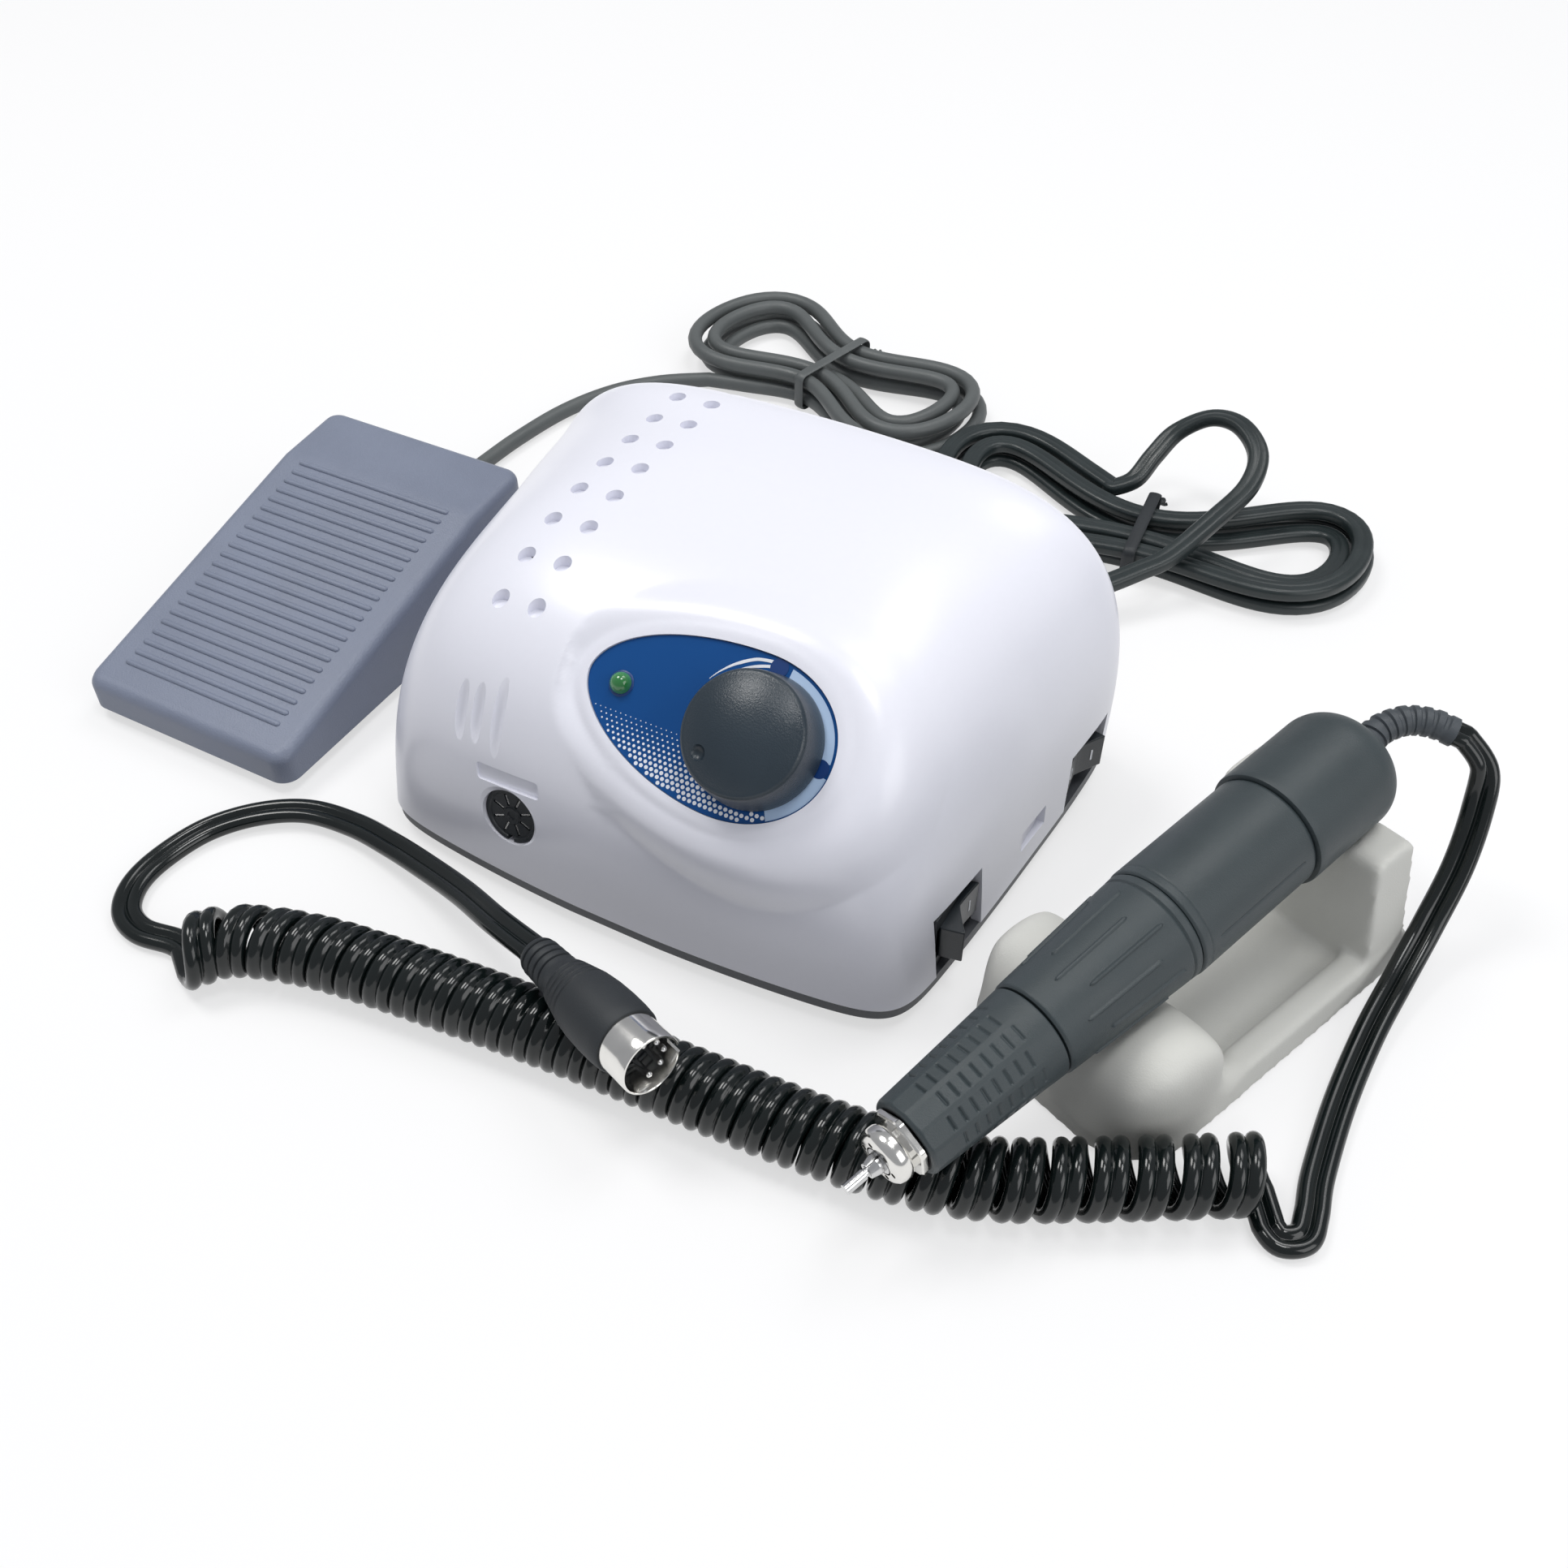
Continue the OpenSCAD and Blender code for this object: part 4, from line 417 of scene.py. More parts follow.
def thin(p, least=0.35):
    """Drop points that repeat the one before."""
    out = [np.asarray(p[0], dtype=float)]
    for v in p[1:]:
        if np.linalg.norm(v - out[-1]) > least:
            out.append(np.asarray(v, dtype=float))
    return out


def sides_of(path, hints=None):
    """A steady sideways direction for each point of a path."""
    out = []
    last = None
    for i in range(len(path)):
        h = heading(path, i)
        if hints is not None and hints[i] is not None:
            a = hints[i] - h * np.dot(hints[i], h)
        else:
            a = np.array([-h[1], h[0], 0.0001])
        a = unit(a)
        if last is not None and np.dot(a, last) < 0:
            a = -a
        out.append(a)
        last = a
    return out


def twin_section(w, t, n=16):
    """Outline of two round strands moulded side by side, with a soft waist."""
    half = (w - t) / 2
    r = t / 2
    open_at = math.degrees(math.acos(-half / r)) - 9
    waist = math.sqrt(r * r - half * half) + 0.22
    right = [[half + r * math.cos(math.radians(q)), r * math.sin(math.radians(q))]
             for q in np.linspace(-open_at, open_at, n)]
    left = [[-x, -y] for x, y in right]
    return right + [[0.0, waist]] + left + [[0.0, -waist]]


def round_section(d, n=16):
    return [[math.cos(2 * math.pi * j / n) * d / 2, math.sin(2 * math.pi * j / n) * d / 2] for j in range(n)]


def flat_section(w, t, r=1.5, n=6):
    """Rounded rectangle with slightly bulged flats and a faint middle line."""
    ring = rounded_rect(w, t, r, n)
    mark = [[0.35, t / 2], [0.0, t / 2 - 0.16], [-0.35, t / 2]]
    return ring[:n + 1] + mark + ring[n + 1:3 * n + 3] + [[-x, -y] for x, y in mark] + ring[3 * n + 3:]


def tube(path, section, hints=None):
    """Points and faces of a section carried along a path, with square ends."""
    sec = np.asarray(section)
    side = sides_of(path, hints)
    rings = [c + sec[:, :1] * side[i] + sec[:, 1:] * np.cross(heading(path, i), side[i])
             for i, c in enumerate(path)]
    return np.vstack(rings), tube_faces(len(path), len(sec))


def swept(name, path, section, mat, slot, hints=None, body="set"):
    return make(name, *tube(path, section, hints), mat, body, slot, 50.0)


BOOT_PATH = [hand_pt(137.8), hand_pt(143), [144.6, 38, 47.8], [149, 42.5, 49], [154.5, 44.6, 49],
             [160, 45, 48]]
PLUG_FRONT = np.array([38, -107, 26.4])
PLUG_JOINT = np.array([25.5, -102, 24.8])
PLUG_BACK = np.array([-2, -91.5, 21.2])
PLUG_DIR = unit(PLUG_FRONT - PLUG_JOINT)
PLUG_YAW = math.degrees(math.atan2(PLUG_DIR[1], PLUG_DIR[0]))
PLUG_PITCH = math.degrees(math.asin(PLUG_DIR[2]))
PLUG = Place(PLUG_JOINT, rot("z", PLUG_YAW) @ rot("y", 90 - PLUG_PITCH))
BOOT_L = float(np.linalg.norm(PLUG_JOINT - PLUG_BACK))


FLAT_W = 5.8
FLAT_T = 3.3
CURL_D = 17.0
CURLS = 32
CURL_R = CURL_D / 2 - FLAT_T / 2
CURL_Z = CURL_D / 2 + 0.3
LAY_Z = CURL_Z - CURL_R
AXIS = spline([[-80, -122, CURL_Z], [-75, -115.5, CURL_Z], [-68, -111.5, CURL_Z], [-59, -108.5, CURL_Z],
               [-48, -106, CURL_Z], [-29, -103.5, CURL_Z], [-10, -101.5, CURL_Z], [12, -99.5, CURL_Z],
               [36, -98, CURL_Z], [60, -96.5, CURL_Z], [80, -94.5, CURL_Z], [96, -91.5, CURL_Z],
               [109, -86.5, CURL_Z], [121, -80, CURL_Z], [134, -72.5, CURL_Z], [146, -65.5, CURL_Z],
               [155, -60, CURL_Z]], 5)
AXIS = np.array(AXIS)
AXIS_RUN = np.concatenate([[0], np.cumsum(np.linalg.norm(np.diff(AXIS, axis=0), axis=1))])


def axis_at(s):
    """Point on the axis of the curls, s mm from its start."""
    return np.array([np.interp(s, AXIS_RUN, AXIS[:, k]) for k in range(3)])


def axis_dir(s):
    return unit(axis_at(min(s + 3, AXIS_RUN[-1])) - axis_at(max(s - 3, 0)))


def eased(k):
    """Share of the axis used after share k of the curls: a little looser at both ends."""
    return (k + 0.05 * (1 - (1 - k) ** 9) + 0.11 * k ** 4) / 1.16


def curl_frame(k):
    """Place of the curly cord after share k of its curls: point, axis, inward and sideways."""
    s = AXIS_RUN[-1] * eased(k)
    t = axis_dir(s)
    n = np.array([-t[1], t[0], 0.0])
    q = math.radians(-90 + 360 * CURLS * (1 - k))
    out = n * math.cos(q) + np.array([0, 0, math.sin(q)])
    return axis_at(s) + out * CURL_R, t, -out, n


def handpiece_cord():
    """The flat twin cord, from the handpiece through its curls to the plug."""
    steps = CURLS * 24
    frames = [curl_frame(i / steps) for i in range(steps + 1)]
    first = frames[0]
    last = frames[-1]
    start = first[0] + first[3] * FLAT_W
    end = last[0] - last[3] * FLAT_W
    boot = spline(BOOT_PATH, 6)
    lead = between(end, -last[3], [[162.5, -68.8, LAY_Z], [166.3, -66, LAY_Z], [166.3, -60, LAY_Z],
                   [165, -50, LAY_Z], [164.5, -30, LAY_Z], [165.5, -10, 3], [167.5, 6, 6], [169.5, 20, 12],
                   [171, 31, 22], [170.5, 39, 33], [168.5, 43.5, 42]], boot[-1],
                   -heading(boot, len(boot) - 1),
                   10, 2.5)
    tip = PLUG_JOINT - PLUG_DIR * np.linalg.norm(PLUG_JOINT - PLUG_BACK)
    tail = between(start, first[3], [[-91, -117.2, LAY_Z], [-100, -118.5, LAY_Z], [-107.5, -115.5, LAY_Z],
                   [-112, -108, LAY_Z], [-112.5, -98, LAY_Z], [-109, -86, LAY_Z + 0.5],
                   [-101, -76, LAY_Z + 1], [-90, -69.5, LAY_Z + 1.5], [-76, -68, 4], [-62, -70, 5.5],
                   [-48, -73.5, 8], [-33, -78.5, 12], [-18, -85, 17]], tip, PLUG_DIR, 10, 2.5)
    path = lead[::-1] + [f[0] for f in frames[::-1]] + tail
    hints = [None] * len(lead) + [f[1] for f in frames[::-1]] + [None] * len(tail)
    keep = [0]
    for i in range(1, len(path)):
        if np.linalg.norm(path[i] - path[keep[-1]]) > 0.35:
            keep.append(i)
    path = [path[i] for i in keep]
    hints = [hints[i] for i in keep]
    obj = swept("handpiece_cord", path, twin_section(7.2, 3.7), JET, "cord_black", hints, None)
    return obj, path


def loop_at(q, l, w, b, k):
    """Point of a hank's figure, half l long and half w wide at its waist, bulged by b and bent by k."""
    c = math.cos(q)
    return np.array([l * c, math.sin(q) * (w + b * c * c) + k * (l * c) ** 2])


def hank_at(t, n, q0, c, yaw, l, w, b, k, step, z0, z1):
    """Point of a hank after t of its n turns: the turns lie side by side and rise from z0 to z1."""
    q = math.radians(q0 + 360 * t)
    half = (n - 0.5) / 2
    f = half - t if t < half else (t - half - 0.5 if t > half + 0.5 else 0.0)
    e = math.radians(1)
    d = unit(loop_at(q + e, l, w, b, k) - loop_at(q - e, l, w, b, k))
    v = loop_at(q, l, w, b, k) + np.array([d[1], -d[0]]) * f * step
    x = min(1.0, max(0.0, (t - half) * 2))
    z = z0 + (z1 - z0) * x * x * (3 - 2 * x)
    cy = math.cos(math.radians(yaw))
    sy = math.sin(math.radians(yaw))
    return np.array([c[0] + v[0] * cy - v[1] * sy, c[1] + v[0] * sy + v[1] * cy, z])


REAR_Y = 62.0


def half_width(e):
    return (145 + 164) / 4 + (164 - 145) / 4 * e + 2.25 * (1 - e * e)


def rear_wall_y(x):
    return REAR_Y - 10 * (x / half_width(0.96)) ** 2 - 5.3 * 0.16


def hank_line(turns, steps_per_turn, tail, *args):
    n = int(24 * turns)
    coarse = [hank_at(i / 24, turns, *args) for i in range(n + 1)]
    fine = [hank_at(i / steps_per_turn, turns, *args) for i in range(n * steps_per_turn // 24 + 1)]
    start = coarse[0] - heading(coarse, 0) * tail
    end = coarse[-1] + heading(coarse, len(coarse) - 1) * tail
    return [start] + fine + [end], heading([start] + coarse, 0), heading(coarse + [end], len(coarse))


def pedal_cord():
    d = 5.0
    low = d / 2 + 1.0
    line, h0, h1 = hank_line(4.25, 96, d, 230, [-68, 183], -14, 45, d / 2 + 0.9, 34, 0, d + 1.9, low,
                             low + d + 1.2)
    lead = between([-147, 54.9, 8.5], [0, 1, 0], [[-146.8, 66, 3.4], [-146.5, 80, 2.6], [-145, 100, 2.6],
                   [-141, 122, 2.6], [-133, 140, 2.8], [-121, 153, 3.2]], line[0], h0, 6)
    tail = between(line[-1], h1, [[-22, 139, 7], [-20, 128, 5], [-26, 114, 8], [-33, 104, 16]],
                   [-34, rear_wall_y(-34) + 26.9, 20], [0, -1, 0], 6)
    path = thin(lead + line[1:] + tail)
    return swept("pedal_cord", path, round_section(d), GREY_CORD, "cord_grey"), path


def mains_cord():
    w = 6.2
    t = 4.0
    low = t / 2 + 1.0
    line, h0, h1 = hank_line(3.18, 96, w, 122, [58, 142], 5, 58, w / 2 + 0.8, 36, 0.0045, w + 2.2,
                             low + t + 1.4, low)
    lead = between([45, rear_wall_y(45) + 22, 18], [0, 1, 0], [[48, 92, 12.5], [57, 105, 11], [66, 116, 13],
                   [72, 124, 15], [79, 143, 19], [84, 156, 24], [82.5, 168, 28], [74, 177.5, 30],
                   [64, 181, 28], [55, 178, 22], [51, 170, 16.5], [48.5, 162, 12], [43.5, 159.2, 9]],
                   line[0], h0, 8)
    tail = between(line[-1], h1, [[-12, 131, 3], [-15.5, 119, 3.2], [-20, 108, 4.2], [-20, 99.5, 5.6],
                   [-16, 94, 6.7]], [-9, 93, 7], [1, 0, 0], 6, 3)
    path = thin(lead + line[1:] + tail)
    return swept("mains_cord", path, flat_section(w, t), MAINS, "mains_black"), path


hand_cord, hand_path = handpiece_cord()
pedal_lead, pedal_path = pedal_cord()
mains_lead, mains_path = mains_cord()


def tie_strip(name, centre, yaw, y0, y1, top, mat, slot):
    """A wire tie twisted round a hank's waist."""
    fr = Place([centre[0], centre[1], 0], rot("z", yaw))
    pts = []
    r = 2.2
    lo, hi = 0.45, top + 0.45
    a, b = y0 - 0.7, y1 + 0.7
    for cx, cy, q in ((b - r, hi - r, 0), (a + r, hi - r, 90), (a + r, lo + r, 180), (b - r, lo + r, 270)):
        pts += [[0, p[0], p[1]] for p in arc(cx, cy, r, q, q + 90, 6)]
    loop = [fr([p])[0] for p in pts]
    n = len(loop)
    sec = np.array([[x * 1.9, y * 0.45] for x, y in round_section(2.0, 12)])
    sd = fr([[1, 0, 0]])[0] - fr([[0, 0, 0]])[0]
    rings = [loop[i] + sec[:, :1] * sd + sec[:, 1:] * np.cross(unit(loop[(i + 1) % n] - loop[i - 1]), sd)
             for i in range(n)]
    # twisted ends
    ends = []
    for s in (0, math.pi):
        line = []
        for i in range(25):
            f = i / 24
            q = s + f * 9
            rr = 0.75 + (1.6 * (f - 0.75) if f > 0.75 else 0)
            line.append(fr([[rr * math.cos(q) + f * 2, b + 0.5 + f * 6.5,
                             top * 0.55 + rr * math.sin(q) - f * f * 2.5]])[0])
        ends.append(tube(line, round_section(1.1, 8)))
    v, f = join([(np.vstack(rings), loop_faces(n, len(sec)))] + ends)
    return make(name, v, f, mat, "set", slot, 40)


pedal_tie = tie_strip("pedal_twist_tie", [-68, 183], -14, -18.6, 15.6, 3.5 + 6.2 + 3.0, GREY_CORD,
                      "cord_grey")
mains_tie = tie_strip("mains_twist_tie", [58, 142], 5, -15.8, 16.8, 3 + 5.4 + 2.5, RUBBER, "rubber_black")

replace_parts(hand_cord, "handpiece_lead", "curly_section", "plug_lead")
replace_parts(pedal_lead, "pedal_lead", "pedal_hank", "pedal_tail")
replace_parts(mains_lead, "mains_lead", "mains_hank", "mains_tail")
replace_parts(pedal_tie, "pedal_tie")
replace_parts(mains_tie, "mains_tie")

# ---------------------------------------------------------------- plugs

def plug_parts():
    """Metal can, insert, five pins and rubber boot of the handpiece's plug."""
    r = 7.2
    shell = lathe("plug_can",
                  [[r - 0.9, 0.0], [r - 0.15, 0.0], [r, 0.15]] + [[r, 1 + i] for i in range(0, 12, 2)]
                  + [[r, 13.7], [r - 0.12, 13.95], [r - 0.5, 14.0], [r - 0.6, 13.8], [r - 0.6, 6.0],
                     [r - 0.6, 1.0],
                     [r - 0.9, 1.0]], CHROME, PLUG, 96, slot="plug_chrome", closed=True)
    cut(shell, [block([-1.1, r - 1.3, 10.2], [1.1, r + 2, 15], PLUG)])
    insert = lathe("plug_core",
                   [[0.01, 1.1], [6.5, 1.1], [6.5, 6.3], [6.3, 6.5], [5.4, 6.5], [5.3, 6.1], [2.6, 6.1],
                                 [2.5, 6.6], [0.01, 6.6]], BLACK, PLUG, 96, slot="black_plastic")
    pins = []
    for i in range(5):
        q = math.radians(i * 45)
        prof = [[0.01, 3.0], [0.7, 3.0], [0.7, 11.9]]
        prof += [[0.7 * math.cos(a), 11.9 + 0.7 * math.sin(a)] for a in (0.4, 0.8, 1.2)] + [[0.01, 12.6]]
        pins.append(turned(prof, 16, Place(PLUG([[4.4 * math.cos(q), 4.4 * math.sin(q), 0]])[0], PLUG.turn)))
    pin = make("plug_contacts", *join(pins), STEEL, "set", "plug_pin_metal")
    # boot: a full grip over the can's rear, four fine rings on its shoulder, then a ribbed neck
    prof = [[0.01, -1.0], [r + 0.02, -1.0], [r + 0.02, -5.2], [r + 0.45, -5.2], [r + 0.72, -4.8],
            [r + 0.95, -2.0],
            [r + 1.0, 2.0], [r + 0.8, 6.5], [r + 0.45, 9.5]]
    for i in range(4):
        s = 10.0 + i * 1.8
        rr = r + 0.35 - i * 0.42
        prof += [[rr, s], [rr - 0.06, s + 0.7], [rr - 0.42, s + 0.95], [rr - 0.44, s + 1.2],
                 [rr - 0.24, s + 1.5]]
    prof += [[r - 1.5, 18.0], [r - 2.05, 19.2]]
    for i in range(4):
        s = 19.8 + i * 2.2
        rr = r - 2.15 - i * 0.1
        prof += [[rr, s], [rr, s + 1.1], [rr - 0.2, s + 1.35], [rr - 0.6, s + 1.5], [rr - 0.6, s + 1.8],
                 [rr - 0.2, s + 2.0]]
    prof += [[4.5, BOOT_L - 0.8], [4.1, BOOT_L], [0.01, BOOT_L]]
    boot = lathe("plug_strain_relief", [[a, -b] for a, b in prof], RUBBER, PLUG, 80, slot="rubber_black")
    pieces = [shell, insert, pin, boot]
    for obj, node in zip(pieces, ("plug_shell", "plug_insert", "plug_pins", "plug_boot")):
        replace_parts(obj, node)
    return pieces


plug_pieces = plug_parts()


def pedal_jack_plug():
    fr = Place([-34, rear_wall_y(-34) + 2.9, 20], rot("x", -90))
    prof = [[0.01, -15.0], [1.0, -15.0], [1.75, -13.6], [1.3, -12.6], [1.75, -11.8], [1.75, 0.0], [4.5, 0.0],
            [4.8, 0.4]]
    for i in range(5):
        prof += [[4.8, 2 + i * 2.4], [4.45, 2.4 + i * 2.4], [4.45, 3.2 + i * 2.4], [4.8, 3.6 + i * 2.4]]
    prof += [[4.8, 16.0], [3.9, 20.0], [3.3, 23.6], [3.0, 24.0], [0.01, 24.0]]
    obj = lathe("pedal_cord_plug", prof, BLACK, fr, 64, slot="black_plastic")
    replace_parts(obj, "pedal_plug")
    return obj


pedal_plug = pedal_jack_plug()


def rounded_slab(rows, frame, n=14):
    """Rounded rectangles [z, half width, half height, corner radius] lofted along the frame's Z."""
    rings = [[[*p, z] for p in rounded_rect(2 * hx, 2 * hy, r, n)] for z, hx, hy, r in rows]
    return frame(np.array(rings).reshape(-1, 3)), tube_faces(len(rings), len(rings[0]))


def mains_plug_piece():
    fr = Place([-9, 93, 7], rot("y", 90))
    rows = [[0.0, 3.0, 4.0, 1.8], [0.6, 3.5, 4.4, 2.2], [7.5, 3.8, 4.5, 2.4], [9.5, 4.6, 6.4, 3.2],
            [13.0, 5.2, 8.6, 3.6], [17.5, 6.2, 11.6, 4.2], [20.0, 6.6, 12.8, 4.4], [31.0, 6.6, 12.8, 4.4],
            [33.2, 6.3, 12.4, 4.2], [34.0, 5.6, 11.6, 3.6]]
    prof = [[0.01, 33.9], [2.0, 33.9], [2.0, 51.5], [1.7, 52.4], [1.0, 52.9], [0.01, 52.9]]
    pins = [turned(prof, 24, Place(fr([[0, y, 0]])[0], fr.turn)) for y in (-9.5, 9.5)]
    body = make("mains_plug_body", *rounded_slab(rows, fr), MAINS, "set", "mains_black", 40)
    pin = make("mains_plug_pins", *join(pins), STEEL, "set", "plug_pin_metal", 40)
    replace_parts(body, "mains_plug")
    return [body, pin]


mains_plug = mains_plug_piece()

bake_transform(hand_cord)


# ---------------------------------------------------------------- control unit shell
UNIT_H = 83.0
SHELL_Z = 7.0
SHELL_WALL = 2.5
MID_Y = 4.5
FRONT_REACH = 70.5
REAR_REACH = 57.5


def spow(v, e):
    """A power that keeps the sign."""
    return np.sign(v) * np.abs(v) ** e


def shell_surface(up, around, w=0.0):
    """Points of the unit's shell at a rise and a bearing in degrees, w mm inside its outer face."""
    q = np.radians(around)
    t = np.arctan2(spow(np.sin(q), 3), spow(np.cos(q), 3))
    c = np.cos(t)
    s = np.sin(t)
    m = 3.5 + 3.6 * np.maximum(s, 0) ** 2 - 0.3 * np.maximum(-s, 0) ** 2
    u = np.radians(up)
    lift = np.sin(u) ** (2 / m)
    r = np.maximum(np.cos(u), 0) ** (2 / m)
    p = 15 + ((3.4 + 2.1 * (1 + s) / 2) - 15) * lift ** 0.93
    xi = spow(c, 2 / p) * r
    e = 0.52 + r * (spow(s, 2 / p) - 0.52)
    hw = half_width(e)
    x = (hw - w) * xi * (1 - lift * (0.12 - 0.19 * (e + 1) / 2))
    y = np.where(e < 0, -e * (w - FRONT_REACH + 5.8 * xi * xi),
                 e * (REAR_REACH - w - 10 * xi * xi - 5.3 * lift))
    z = SHELL_Z + lift * (UNIT_H - 0.2 - SHELL_Z - w - 3.65 * np.maximum(e, 0) ** 2)
    return np.stack([x, y + MID_Y, z], -1)


DIAL_R = 18.5
DIAL_TIP_X = 43.4
DIAL_MID_X = -5.0
DIAL_RISE = 2.3
LAMP = Place(DIAL([[8.4 - DIAL_TIP_X, 1.6, 0]])[0], DIAL.turn)


def dial_pt(q):
    """Point of the dial plate's egg-shaped outline, in the dial's plane."""
    c = math.cos(math.radians(q))
    s = math.sin(math.radians(q))
    left = c < 0
    e = 2 / (1.85 if left else 2.1)
    u = abs(c) ** e
    a = -DIAL_TIP_X - DIAL_MID_X if left else DIAL_R - 0.8 - DIAL_MID_X
    y = math.copysign(DIAL_R * abs(s) ** e, s)
    return np.array([DIAL_MID_X + a * u, y + (DIAL_RISE * u ** 1.5 if left else 0.0)])


def dial_outline(grow, step=2.0):
    """The plate's outline, moved out by grow."""
    pts = []
    for i in range(int(round(360 / step))):
        q = (i + 0.5) * step
        t = dial_pt(q + 1) - dial_pt(q - 1)
        pts.append(dial_pt(q) + grow * np.array([t[1], -t[0]]) / np.linalg.norm(t))
    return pts


EDGE = np.array(dial_outline(0.0, 1.0))
EDGE_OUT = np.array(dial_outline(1.0, 1.0)) - EDGE


def dial_distance(x, y):
    """Distance outside the dial plate's outline, and the outward direction in degrees."""
    best = np.full(x.shape, 1e9)
    near = np.zeros(x.shape, dtype=int)
    for k in range(len(EDGE)):
        d = (x - EDGE[k, 0]) ** 2 + (y - EDGE[k, 1]) ** 2
        near = np.where(d < best, k, near)
        best = np.minimum(d, best)
    along = (x - EDGE[near, 0]) * EDGE_OUT[near, 0] + (y - EDGE[near, 1]) * EDGE_OUT[near, 1]
    ang = np.degrees(np.arctan2(EDGE_OUT[near, 1], EDGE_OUT[near, 0]))
    return np.where(along < 0, -1, 1) * np.maximum(np.abs(along), np.sqrt(best) * 0.98), ang % 360


# By direction round the plate: how far the fairing reaches, how high the lip stands, how sharp the crease is
REACH_AT = [0, 45, 75, 100, 120, 150, 180, 200, 220, 240, 270, 300, 330, 360]
REACH = [22, 20, 18, 15, 11, 7.5, 6.0, 6.5, 8.5, 11, 15, 18, 20, 22]
LIP_AT = [0, 60, 120, 160, 300, 340, 360]
LIP = [0.4, 0.2, 0.25, 0.8, 0.8, 0.6, 0.4]
CREASE_AT = [0, 60, 110, 150, 200, 290, 325, 360]
CREASE = [0.15, 0.0, 0.1, 1.5, 1.9, 1.6, 0.7, 0.15]


def fair(points):
    """Blend the shell into the raised rim round the dial plate."""
    rel = points - DIAL.at
    loc = rel @ DIAL.turn
    x, y, z = loc[:, 0], loc[:, 1], loc[:, 2]
    dist = np.full(len(x), 99.0)
    ang = np.zeros(len(x))
    box = (z > -16) & (z < 12) & (x > -70) & (x < 42) & (y > -45) & (y < 45)
    dist[box], ang[box] = dial_distance(x[box], y[box])
    reach = np.interp(ang, REACH_AT, REACH)
    crease = np.interp(ang, CREASE_AT, CREASE)
    rim = 0.6 - np.interp(ang, LIP_AT, LIP) * np.clip((dist - 1.0) / 2.4, 0, 1) ** 2
    w = np.clip((dist - 2.2) / (reach - 2.2), 0, 1)
    h1 = w * w * (3 - 2 * w)
    h2 = w ** 3 - 2 * w ** 2 + w
    h3 = w ** 3 - w ** 2
    g = h1 + 0.25 * h2 + crease * h3
    z = np.where(box & (dist < reach), rim + (z - rim) * np.clip(g, 0, 1), z)
    return np.stack([x, y, z], -1) @ DIAL.turn.T + DIAL.at


def side_x(y):
    """Half width of the shell's lower edge at y."""
    return half_width((y - MID_Y) / (FRONT_REACH if y < MID_Y else REAR_REACH))


def ring_cut(at, turn, major, minor, n=96, m=12):
    """A torus used to press a soft groove."""
    fr = Place(at, turn)
    pts = []
    for i in range(n):
        a = 2 * math.pi * i / n
        for j in range(m):
            b = 2 * math.pi * j / m
            pts.append([(major + minor * math.cos(b)) * math.cos(a),
                        (major + minor * math.cos(b)) * math.sin(a),
                        minor * math.sin(b)])
    return fr(pts), loop_faces(n, m)


SOCKET = Place([-28.1, -64.7, 26.6], rot("x", 90 - 13))
SOCKET_R = 7.4
LABEL = Place([-27.3, -63.3, 38.4], rot("z", -2.5) @ rot("x", 78) @ rot("z", 4.6))
FLUTES = [[[-41.9, -54.2, 56.7], [-41.9, -60.8, 42.8]], [[-37.2, -54.2, 57.6], [-37.2, -60.8, 44.1]],
          [[-31.3, -52.7, 60.2], [-31.3, -61.8, 42.6]]]


def cone(r0, r1, z0, z1, frame, n=96):
    """Points and faces of a cone's stump."""
    q = np.arange(n) * 2 * math.pi / n
    low = np.stack([r0 * np.cos(q), r0 * np.sin(q), np.full(n, z0)], -1)
    high = np.stack([r1 * np.cos(q), r1 * np.sin(q), np.full(n, z1)], -1)
    return frame(np.vstack([low, high])), tube_faces(2, n)


